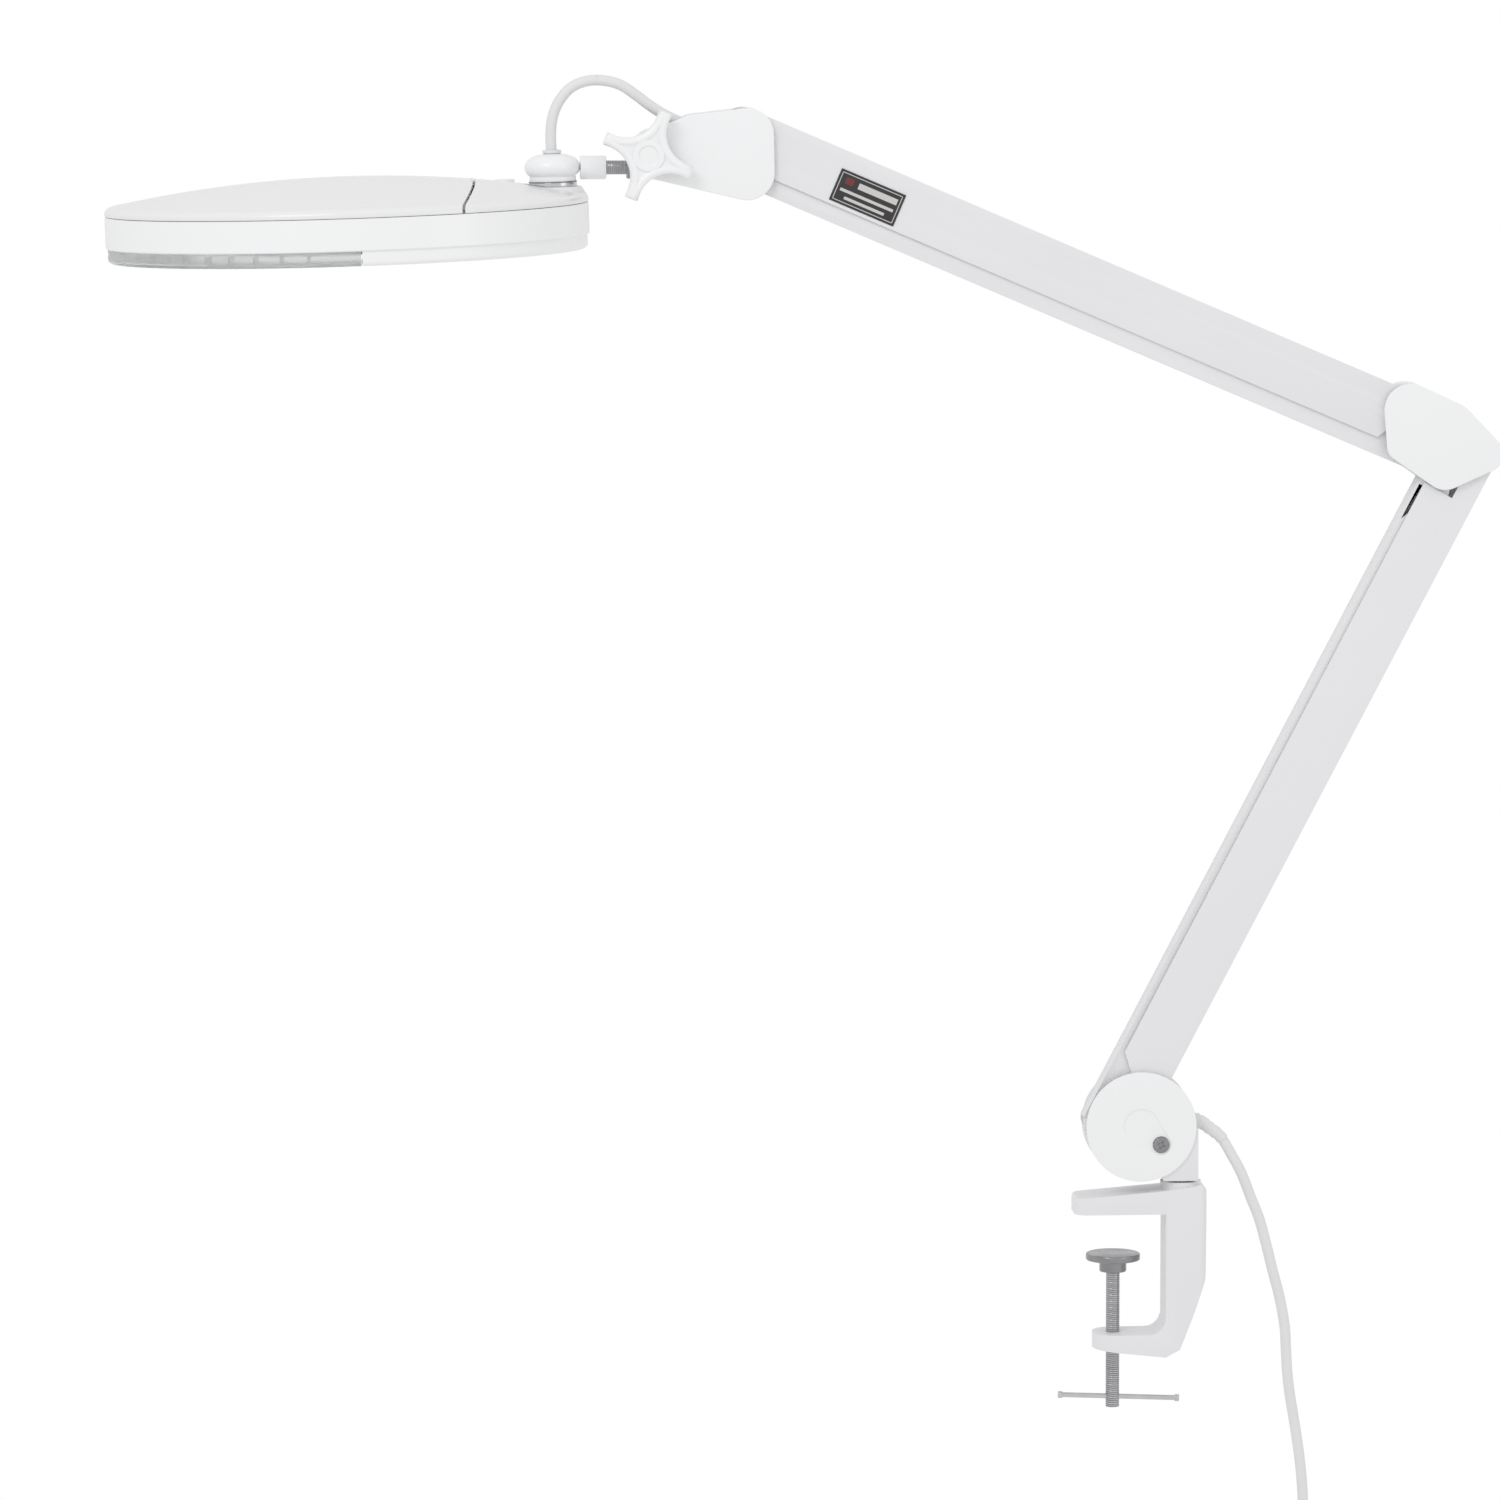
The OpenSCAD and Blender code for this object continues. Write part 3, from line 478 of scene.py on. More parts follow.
def tube_mesh(name: str, path: Sequence[Vector], diameter: float, sides: int = 20) -> bpy.types.Object:
    """Sweep a round tube along a path, with closed ends.

    Args:
        name: The object's name.
        path: Points in metres.
        diameter: The tube's diameter.
        sides: Sides of the tube.

    Returns:
        The tube.
    """
    points = [Vector(p) for p in path]
    rings = []
    normal = None
    for i, point in enumerate(points):
        step = points[min(i + 1, len(points) - 1)] - points[max(i - 1, 0)]
        step.normalize()
        if normal is None:
            normal = step.orthogonal().normalized()
        normal = (normal - step * normal.dot(step)).normalized()
        rings.append(circle_points(point, normal, step.cross(normal), diameter / 2, sides))
    return shade(skin(name, rings), 50.0)


def smooth_path(points: Sequence[Sequence[float]], steps: int = 4) -> list[Vector]:
    """Catmull-Rom points through given ones.

    Args:
        points: The chosen points.
        steps: Steps between two of them.

    Returns:
        The denser path.
    """
    chosen = [Vector(p) for p in points]
    path: list[Vector] = []
    for i in range(len(chosen) - 1):
        before, after = chosen[max(i - 1, 0)], chosen[min(i + 2, len(chosen) - 1)]
        for k in range(steps):
            t = k / steps
            path.append(0.5 * ((2 * chosen[i]) + (chosen[i + 1] - before) * t
                               + (2 * before - 5 * chosen[i] + 4 * chosen[i + 1] - after) * t * t
                               + (3 * chosen[i] - before - 3 * chosen[i + 1] + after) * t ** 3))
    path.append(chosen[-1])
    return path


def joint(frame: dict, name: str) -> dict:
    """A joint of the record by its name."""
    return next(j for j in frame["joints"] if j["name"] == name)


def pivot(frame: dict, name: str) -> Vector:
    """Where a hinge turns, in metres."""
    return Vector(joint(frame, name)["pos_m"])


class GeometryTree:
    """A Geometry Nodes tree built in the script, with named inputs, baked to a plain mesh."""

    def __init__(self, name: str, sizes: dict[str, float], counts: dict[str, int]) -> None:
        """Create the tree with its inputs.

        Args:
            name: The tree's name.
            sizes: Float inputs and their values.
            counts: Integer inputs and their values.
        """
        self.name = name
        self.tree = bpy.data.node_groups.new(name, "GeometryNodeTree")
        self.values = {**sizes, **counts}
        for key in sizes:
            self.tree.interface.new_socket(key, in_out="INPUT", socket_type="NodeSocketFloat")
        for key in counts:
            self.tree.interface.new_socket(key, in_out="INPUT", socket_type="NodeSocketInt")
        self.tree.interface.new_socket("Geometry", in_out="OUTPUT", socket_type="NodeSocketGeometry")
        self.entry = self.tree.nodes.new("NodeGroupInput")
        self.exit = self.tree.nodes.new("NodeGroupOutput")

    def input(self, key: str) -> bpy.types.NodeSocket:
        """A named input's socket."""
        return self.entry.outputs[key]

    def add(self, kind: str, options: dict | None = None, **inputs: object) -> bpy.types.Node:
        """Add a node.

        Args:
            kind: The node's type.
            options: Properties of the node.
            inputs: Values or sockets by input name, with _ for a space.

        Returns:
            The node.
        """
        made = self.tree.nodes.new(kind)
        for key, value in (options or {}).items():
            setattr(made, key, value)
        for key, value in inputs.items():
            socket = made.inputs[key.replace("_", " ")]
            if isinstance(value, bpy.types.NodeSocket):
                self.tree.links.new(value, socket)
            else:
                socket.default_value = value
        return made

    def bake(self, geometry: bpy.types.NodeSocket, finish: Finish) -> bpy.types.Object:
        """End the tree, set its inputs and turn the result into a plain mesh object.

        Args:
            geometry: The socket that holds the result.
            finish: The finish for Set Material.

        Returns:
            The baked object at the origin.
        """
        real = self.add("GeometryNodeRealizeInstances", Geometry=geometry)
        paint = self.add("GeometryNodeSetMaterial", Geometry=real.outputs[0])
        paint.inputs["Material"].default_value = finish.material()
        self.tree.links.new(paint.outputs[0], self.exit.inputs[0])
        made = object_from(self.name, [], [])
        modifier = made.modifiers.new(self.name, "NODES")
        modifier.node_group = self.tree
        for item in self.tree.interface.items_tree:
            if item.in_out == "INPUT":
                modifier[item.identifier] = self.values[item.name]
        return outward(apply_modifiers(made))


def wound_wire(name: str, radius: float, wire: float, height: float, turns: float, finish: Finish,
               ring: int = 20, sides: int = 8) -> bpy.types.Object:
    """A helix of round wire from the origin along +Z.

    Args:
        name: The tree's and object's name.
        radius: Radius of the wire's centreline.
        wire: Radius of the wire.
        height: Length of the helix.
        turns: Number of turns.
        finish: The wire's finish.
        ring: Steps in one turn.
        sides: Sides of the wire.

    Returns:
        The helix as a mesh.
    """
    tree = GeometryTree(name, {"radius": radius, "wire": wire, "height": height, "turns": turns},
                        {"steps": ring, "sides": sides})
    spiral = tree.add("GeometryNodeCurveSpiral", Resolution=tree.input("steps"),
                      Rotations=tree.input("turns"),
                      Start_Radius=tree.input("radius"), End_Radius=tree.input("radius"),
                      Height=tree.input("height"))
    section = tree.add("GeometryNodeCurvePrimitiveCircle", Resolution=tree.input("sides"),
                       Radius=tree.input("wire"))
    swept = tree.add("GeometryNodeCurveToMesh", Curve=spiral.outputs[0], Profile_Curve=section.outputs[0],
                     Fill_Caps=True)
    return shade(tree.bake(swept.outputs[0], finish), 60.0)


def blocks_on_arc(name: str, radius: float, start: float, sweep: float, count: int, size: Place,
                  finish: Finish) -> bpy.types.Object:
    """Equal blocks along an arc round the origin.

    Args:
        name: The tree's and object's name.
        radius: The arc's radius.
        start: Where the arc starts, in degrees.
        sweep: How far it goes, in degrees.
        count: How many blocks.
        size: A block's sides.
        finish: The blocks' finish.

    Returns:
        The blocks as one mesh.
    """
    tree = GeometryTree(name, {"radius": radius, "start": math.radians(start), "sweep": math.radians(sweep)},
                        {"count": count})
    arc = tree.add("GeometryNodeCurveArc", Resolution=tree.input("count"), Radius=tree.input("radius"),
                   Start_Angle=tree.input("start"), Sweep_Angle=tree.input("sweep"))
    spots = tree.add("GeometryNodeCurveToPoints", {"mode": "EVALUATED"}, Curve=arc.outputs["Curve"])
    one = tree.add("GeometryNodeMeshCube", Size=size)
    placing = tree.add("GeometryNodeInstanceOnPoints", Points=spots.outputs["Points"],
                       Instance=one.outputs["Mesh"], Rotation=spots.outputs["Rotation"])
    return tree.bake(placing.outputs[0], finish)


def along_line(start: Vector, end: Vector) -> Matrix:
    """A matrix that puts +Z along a line.

    Args:
        start: Where the line starts.
        end: Where it ends.

    Returns:
        The placing matrix.
    """
    turn = Vector((0, 0, 1)).rotation_difference((end - start).normalized())
    return Matrix.Translation(start) @ turn.to_matrix().to_4x4()


# ---------------------------------------------------------------- studio


@dataclass
class Studio:
    """Camera, lights and world."""

    camera_at: Place = (-0.49194, -4.5, 0.78062)
    yaw: float = 0.06104
    pitch: float = -0.11153
    roll: float = 0.00130
    lens: float = 186.1
    ambient: float = 0.82

    def camera(self) -> None:
        """Make the camera at the viewing angle, with no shift."""
        data = bpy.data.cameras.new("camera")
        data.lens = self.lens
        data.sensor_width = 36.0
        data.clip_end = 50.0
        made = bpy.data.objects.new("camera", data)
        bpy.context.scene.collection.objects.link(made)
        aim = (Matrix.Rotation(-self.yaw, 4, "Z") @ Matrix.Rotation(math.pi / 2 + self.pitch, 4, "X")
               @ Matrix.Rotation(-self.roll, 4, "Z"))
        made.matrix_world = Matrix.Translation(self.camera_at) @ aim
        bpy.context.scene.camera = made

    def light(self, name: str, place: Place, aim: Place, size: float, power: float) -> None:
        """A square area light.

        Args:
            name: The light's name.
            place: Where it is.
            aim: What it points at.
            size: Its side in metres.
            power: Its power in watts.
        """
        data = bpy.data.lights.new(name, "AREA")
        data.energy = power
        data.size = size
        made = bpy.data.objects.new(name, data)
        made.location = place
        made.rotation_euler = (Vector(aim) - Vector(place)).to_track_quat("-Z", "Y").to_euler()
        bpy.context.scene.collection.objects.link(made)

    def build(self) -> None:
        """Build the whole studio."""
        self.camera()
        world = bpy.data.worlds.new("studio")
        world.use_nodes = True
        nodes, links = world.node_tree.nodes, world.node_tree.links
        path = nodes.new("ShaderNodeLightPath")
        level = nodes.new("ShaderNodeMapRange")
        level.inputs["To Min"].default_value = self.ambient
        level.inputs["To Max"].default_value = 1.0
        links.new(path.outputs["Is Camera Ray"], level.inputs["Value"])
        links.new(level.outputs["Result"], nodes["Background"].inputs["Strength"])
        nodes["Background"].inputs["Color"].default_value = (1.0, 1.0, 1.0, 1.0)
        bpy.context.scene.world = world
        bpy.context.scene.view_settings.view_transform = "Standard"
        self.light("key", (-1.6, -2.2, 2.4), (-0.2, 0.0, 0.4), 1.3, 17.0)
        self.light("fill", (2.0, -2.0, 0.9), (-0.1, 0.0, 0.3), 1.2, 4.0)


# ---------------------------------------------------------------- cords


@dataclass
class MainsCord:
    """The hanging mains cord with its coil, tie, plug and strain relief."""

    diameter: float = 6.3 * MM
    length: float = 1.8
    route: tuple[Point, ...] = (
        (0.0455, 0.0532), (0.049, 0.053), (0.054, 0.0494), (0.0614, 0.0434), (0.0673, 0.0336),
        (0.0738, 0.0215), (0.079, 0.008), (0.0844, -0.0056), (0.0885, -0.0204), (0.0926, -0.0369),
        (0.0968, -0.0528), (0.100, -0.0705),
        (0.1009, -0.0856), (0.1018, -0.099), (0.1034, -0.112), (0.1056, -0.125), (0.108, -0.140),
        (0.110, -0.155), (0.1114, -0.172), (0.112, -0.190))
    coil_centre: Point = (0.078, -0.222)
    layer_radii: tuple[float, ...] = (0.0277, 0.034, 0.0403)
    turns: int = 7
    tail: Point = (-0.245, -0.264)
    relief_reach: float = 21.0 * MM
    relief_radius: float = 3.9 * MM
    relief_taper: float = 0.5 * MM
    relief_ridge: float = 0.2 * MM
    tie_half: Point = (10.9 * MM, 10.6 * MM)
    tie_thick: float = 1.2 * MM
    tie_high: float = 7.2 * MM

    def path(self) -> list[Vector]:
        """The whole centreline: the hanging stretch, the coil's turns and the tail.

        Returns:
            Points in metres.
        """
        points = smooth_path([(x, 0.0, z) for x, z in self.route], 3)
        cx, cz = self.coil_centre
        # (row across the coil, layer) that each turn ends in, a diameter apart
        seats = [(0, 1), (1, 1), (1, 0), (0, 0), (-1, 0), (-1, 1), (-1, 2), (0, 1.999)]
        steps = 24
        for turn in range(self.turns):
            (y0, l0), (y1, l1) = seats[turn], seats[turn + 1]
            for k in range(steps):
                t = k / steps
                ease = t * t * (3 - 2 * t)
                layer = l0 + (l1 - l0) * ease
                radius = self.layer_radii[0] + (self.layer_radii[1] - self.layer_radii[0]) * layer
                row = (y0 + (y1 - y0) * ease) * self.diameter
                angle = -2 * math.pi * t
                points.append(Vector((cx + radius * math.cos(angle), row, cz + radius * math.sin(angle))))
        outer = cx + self.layer_radii[2]
        points.append(Vector((outer, 0.0, cz)))
        points += smooth_path([(outer, 0.0, cz - 0.008), (outer - 0.001, 0.0, cz - 0.016),
                               (0.1140, 0.0, cz - 0.026), (0.112, 0.0, self.tail[0] - 0.008),
                               (0.112, 0.0, self.tail[1])], 3)
        return points

    def build(self) -> None:
        """Build the cord and what is on it."""
        path = self.path()
        cord = tube_mesh("mains_cord_sheath", path, self.diameter, 16)
        dress(cord, CORD_SHEATH, "knuckle", ["mains_cord", "cord_coil"])
        tie = self.tie()
        plug = softened("mains_plug", "plug_body", 2.6 * MM, 4)
        dress(plug, CORD_SHEATH, "knuckle", ["mains_plug"])
        blades = softened("plug_blades", "plug_contacts", 0.4 * MM, 2)
        dress(blades, BRASS_FINISH, "knuckle", ["plug_blades"])
        self.relief()

    def tie(self) -> bpy.types.Object:
        """The rubber tie round the coil's far side."""
        cx, cz = self.coil_centre
        middle = cx - self.layer_radii[1]
        half_w, half_h = self.tie_half
        # a squared-off loop: the sine and the cosine keep their sign and take the power 0.55
        turns = [math.radians(7.5 + 15 * k) for k in range(24)]
        loop = [(half_h * math.cos(a) * abs(math.cos(a)) ** -0.45,
                 half_w * math.sin(a) * abs(math.sin(a)) ** -0.45) for a in turns]
        vertices, faces = [], []
        for grow in (0.0, -self.tie_thick):
            for z in (-self.tie_high / 2, self.tie_high / 2):
                vertices += [(middle + x * (1 + grow / half_h), y * (1 + grow / half_w), cz + z)
                             for x, y in loop]
        n = len(loop)
        for k in range(n):
            m = (k + 1) % n
            faces += [(k, m, n + m, n + k), (2 * n + m, 2 * n + k, 3 * n + k, 3 * n + m),
                      (k, 2 * n + k, 2 * n + m, m), (n + m, 3 * n + m, 3 * n + k, n + k)]
        tie = rounded(outward(object_from("cord_tie", vertices, faces)), 0.4 * MM)
        dress(tie, BLACK_RUBBER, "knuckle", ["coil_tie"])
        return tie

    def relief(self) -> None:
        """The tapered, ribbed strain relief where the cord leaves the base bracket."""
        path = smooth_path([(x, 0.0, z) for x, z in self.route[:6]], 8)
        side = Vector((0, 1, 0))
        rings, run = [], 0.0
        for i, point in enumerate(path):
            run += (point - path[max(i - 1, 0)]).length
            if run > self.relief_reach:
                break
            step = (path[i + 1] - path[max(i - 1, 0)]).normalized()
            ridge = self.relief_ridge if i % 4 < 2 else 0.0
            radius = self.relief_radius - self.relief_taper * run / self.relief_reach + ridge
            rings.append(circle_points(point, side, step.cross(side), radius, 24))
        sleeve = shade(skin("relief_sleeve", rings), 50.0)
        dress(sleeve, CORD_SHEATH, "knuckle")
        bush = softened("strain_relief", "relief_bush", 0.6 * MM)
        dress(bush, CORD_SHEATH, "knuckle", ["strain_relief"])


@dataclass
class HeadCable:
    """The short cable from the ball housing over to the head joint, in two stretches."""

    knob: Vector
    start: Point = (-57.6 * MM, 2.4 * MM)
    diameter: float = 6.3 * MM
    route: tuple[Point, ...] = (
        (0.0026, -0.001), (0.0022, 0.008), (0.003, 0.0176), (0.0064, 0.0271), (0.0134, 0.0357),
        (0.0228, 0.0399), (0.033, 0.0402), (0.043, 0.0375), (0.052, 0.0315),
        (0.060, 0.0255), (0.068, 0.0205), (0.077, 0.0162))

    def build(self) -> None:
        """Build the cable as two tubes, split at the middle of its path."""
        path = smooth_path([(self.knob.x + self.start[0] + x, 0.0, self.knob.z + self.start[1] + z)
                            for x, z in self.route], 5)
        middle = len(path) // 2
        low = tube_mesh("head_cable_lower", path[:middle + 1], self.diameter, 18)
        high = tube_mesh("head_cable_upper", path[middle:], self.diameter, 18)
        for piece in (low, high):
            coat(piece, CORD_SHEATH)
        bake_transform(low)
        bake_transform(high)
        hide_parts("head_cable")
        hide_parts("head_cable")
        LOG.info("head cable: two stretches")


# ---------------------------------------------------------------- sub-assemblies


def link_frame(x: float, z: float, degrees: float) -> Matrix:
    """A frame at [x, z] whose X axis leans up by an angle.

    Args:
        x: Place along X in metres.
        z: Height in metres.
        degrees: Lean of its X axis above level.

    Returns:
        The frame's matrix.
    """
    return Matrix.Translation((x, 0.0, z)) @ Matrix.Rotation(-math.radians(degrees), 4, "Y")


def placed(piece: bpy.types.Object, frame: Matrix) -> bpy.types.Object:
    """Move a piece's mesh into a frame and keep its object at the origin."""
    piece.data.transform(frame)
    piece.data.update()
    return piece


def joined(name: str, pieces: Sequence[bpy.types.Object]) -> bpy.types.Object:
    """Join several pieces into one mesh object.

    Args:
        name: The result's name.
        pieces: The pieces, which are removed.

    Returns:
        The joined object.
    """
    work = bmesh.new()
    for piece in pieces:
        work.from_mesh(piece.data)
    made = object_from(name, [], [])
    work.to_mesh(made.data)
    work.free()
    for piece in pieces:
        bpy.data.objects.remove(piece)
    return made


def block(name: str, size: Place, at: Place) -> bpy.types.Object:
    """A box with its middle at a place.

    Args:
        name: The object's name.
        size: Its sides in metres.
        at: Its middle.

    Returns:
        The box.
    """
    hx, hy, hz = (side / 2 for side in size)
    ends = (-1, 1)
    corners = [(at[0] + a * hx, at[1] + b * hy, at[2] + c * hz) for a in ends for b in ends for c in ends]
    faces = [(0, 1, 3, 2), (4, 6, 7, 5), (0, 4, 5, 1), (2, 3, 7, 6), (0, 2, 6, 4), (1, 5, 7, 3)]
    return outward(object_from(name, corners, faces))


@dataclass(frozen=True)
class Part:
    """A node shown as its own shape with softened edges."""

    node: str
    name: str
    finish: Finish
    body: str
    width: float = 0.4 * MM
    segments: int = 3

    def build(self) -> bpy.types.Object:
        """Make the softened copy and dress it."""
        made = softened(self.node, self.name, self.width, self.segments)
        dress(made, self.finish, self.body, [self.node])
        return made


@dataclass
class ClampAssembly:
    """The cast clamp with its screw, tommy bar and pressure pad."""

    screw_x: float = -2.4 * MM
    screw_radius: float = 4.0 * MM
    thread_low: float = -0.1165
    thread_high: float = -0.0370
    pitch: float = 1.25 * MM
    thread_wire: float = 0.42 * MM
    thread_sink: float = 0.32 * MM

    def build(self) -> None:
        """Build the clamp."""
        for part in (Part("clamp_body", "clamp_casting", WHITE_COAT, "clamp", 1.8 * MM, 4),
                     Part("swivel_bush", "clamp_bush", NYLON, "clamp", 0.3 * MM),
                     Part("pressure_pad", "pad_disc", ZINC_STEEL, "pad", 0.8 * MM),
                     Part("tommy_bar", "bar_rod", BRIGHT_STEEL, "bar", 0.5 * MM)):
            part.build()
        core = softened("clamp_screw", "screw_rod", 0.5 * MM)
        dress(core, ZINC_STEEL, "screw", ["clamp_screw"])
        length = self.thread_high - self.thread_low
        ridge = wound_wire("screw_thread", self.screw_radius - self.thread_sink, self.thread_wire, length,
                           length / self.pitch, BRIGHT_STEEL, 24, 6)
        placed(ridge, Matrix.Translation((self.screw_x, 0.0, self.thread_low)))
        dress(ridge, BRIGHT_STEEL, "screw")


@dataclass
class BaseKnuckle:
    """The bracket on the clamp with its round covers, pins and screws."""

    def build(self) -> None:
        """Build the bracket."""
        for part in (Part("knuckle_bracket", "base_bracket", WHITE_COAT, "knuckle", 0.5 * MM),
                     Part("swivel_pin", "base_post", ZINC_STEEL, "knuckle", 0.3 * MM),
                     Part("base_cover_front", "base_disc_front", WHITE_MOULDING, "knuckle", 1.2 * MM, 4),
                     Part("base_cover_rear", "base_disc_rear", WHITE_MOULDING, "knuckle", 1.2 * MM, 4),
                     Part("base_cover_screws", "base_disc_screws", ZINC_STEEL, "knuckle", 0.35 * MM),
                     Part("base_pivot_pins", "base_pins", ZINC_STEEL, "knuckle", 0.3 * MM),
                     Part("base_spacers", "base_washers", NYLON, "knuckle", 0.2 * MM)):
            part.build()


@dataclass
class ArmStage:
    """One parallelogram stage: an outer and an inner channel and a pair of coil springs."""

    stage: str
    foot: str
    start: Vector
    pair: Point
    degrees: float
    tab: float = 0.200
    drop: float = 6.0 * MM
    eye: float = 8.0 * MM
    coil_radius: float = 3.05 * MM
    wire: float = 0.45 * MM
    spread: float = 4.0 * MM
    winding: float = 2.3
    hook_ends: Point = (3.3 * MM, 0.7 * MM)
    hook_lap: float = 1.0 * MM
    hook_wire: float = 1.5 * MM

    def channels(self) -> None:
        """The two folded steel channels."""
        for kind in ("outer", "inner"):
            Part(f"{self.stage}_{kind}_channel", f"{self.stage}_{kind}_rail", WHITE_COAT,
                 f"{self.stage}_{kind}", 0.55 * MM).build()

    def springs(self) -> None:
        """Two close-wound springs with hooks that stretch between the foot's pin and the channel's tab."""
        lean = math.radians(self.degrees)
        first = self.start + Vector((self.pair[0], 0.0, self.pair[1]))
        last = self.start + Vector((self.tab * math.cos(lean) + self.drop * math.sin(lean), 0.0,
                                    self.tab * math.sin(lean) - self.drop * math.cos(lean)))
        reach = (last - first).length
        length = reach - 2 * self.eye
        pieces = []
        for side in (-1, 1):
            coil = wound_wire(f"{self.stage}_coil", self.coil_radius, self.wire, length,
                              length / (self.winding * self.wire), ZINC_STEEL, 14, 6)
            placed(coil, Matrix.Translation((0.0, side * self.spread, self.eye)))
            spans = ((self.hook_ends[0], self.eye + self.hook_lap),
                     (reach - self.eye - self.hook_lap, reach - self.hook_ends[1]))
            hooks = [tube_mesh(f"{self.stage}_hook", [Vector((0, side * self.spread, z)) for z in span],
                               self.hook_wire, 10) for span in spans]
            pieces += [coil, *hooks]
        pair = joined(f"{self.stage}_spring_pair", pieces)
        placed(pair, along_line(first, last))
        shade(pair, 60.0)
        coat(pair, ZINC_STEEL)
        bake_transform(pair)
        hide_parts(f"{self.stage}_springs")
        LOG.info("%s: %d faces", pair.name, len(pair.data.polygons))

    def build(self) -> None:
        """Build the stage."""
        self.channels()
        self.springs()


@dataclass
class Label:
    """A small black label with a white border and plain bars."""

    frame: Matrix
    along: float = 0.349
    across: float = 10.6 * MM
    face: float = -11.5 * MM
    size: Point = (40.6 * MM, 19.6 * MM)
    line: float = 0.45 * MM
    print_thick: float = 0.06 * MM

    def build(self) -> None:
        """Build the film and its print."""
        plate = softened("label_plate", "label_film_plate", 0.2 * MM)
        dress(plate, LABEL_FILM, "upper_outer", ["label_plate"])
        w, h = self.size
        line = self.line
        bars = [(w * 0.92, line, 0, h * 0.42), (w * 0.92, line, 0, -h * 0.42), (line, h * 0.84, w * 0.46, 0),
                (line, h * 0.84, -w * 0.46, 0), (w * 0.60, 3.6 * MM, w * 0.12, h * 0.20),
                (w * 0.82, 1.7 * MM, 0, -h * 0.08), (w * 0.62, 1.7 * MM, 0, -h * 0.28)]
        marks = [block("label_bar", (bw, self.print_thick, bh), (bx, 0, bz)) for bw, bh, bx, bz in bars]
        printed = joined("label_print_bars", marks)
        middle = Matrix.Translation((self.along, self.face, self.across))
        upright = self.frame @ middle @ Matrix.Rotation(math.pi, 4, "Y")
        placed(printed, upright)
        dress(printed, LABEL_PRINT, "upper_outer")
        accent = block("label_accent_square", (5.0 * MM, self.print_thick, 4.0 * MM),
                       (-w * 0.32, 0, h * 0.22))
        placed(accent, upright)
        dress(accent, LABEL_ACCENT, "upper_outer")


@dataclass
class ElbowJoint:
    """The elbow's plates, covers and pins."""

    def build(self) -> None:
        """Build the joint."""
        for part in (Part("elbow_plates", "elbow_sides", WHITE_COAT, "elbow", 0.35 * MM),
                     Part("elbow_cover_front", "elbow_face_front", WHITE_MOULDING, "elbow", 1.2 * MM, 4),
                     Part("elbow_cover_rear", "elbow_face_rear", WHITE_MOULDING, "elbow", 1.2 * MM, 4),
                     Part("elbow_pivot_pins", "elbow_pins", ZINC_STEEL, "elbow", 0.3 * MM),
                     Part("elbow_spacers", "elbow_washers", NYLON, "elbow", 0.2 * MM)):
            part.build()


@dataclass
class HeadBracket:
    """The bracket at the arm's far end with its tilt bolt."""

    def build(self) -> None:
        """Build the bracket."""
        body = "head_bracket"
        for part in (Part("head_plates", "head_sides", WHITE_COAT, body, 0.4 * MM),
                     Part("head_cover_front", "head_face_front", WHITE_MOULDING, body, 1.2 * MM, 4),
                     Part("head_cover_rear", "head_face_rear", WHITE_MOULDING, body, 1.2 * MM, 4),
                     Part("head_pivot_pins", "head_pins", ZINC_STEEL, body, 0.3 * MM),
                     Part("head_spacers", "head_washers", NYLON, body, 0.2 * MM),
                     Part("tilt_bolt", "tilt_screw", ZINC_STEEL, body, 0.3 * MM),
                     Part("tilt_nut", "tilt_lock_nut", ZINC_STEEL, body, 0.4 * MM)):
            part.build()


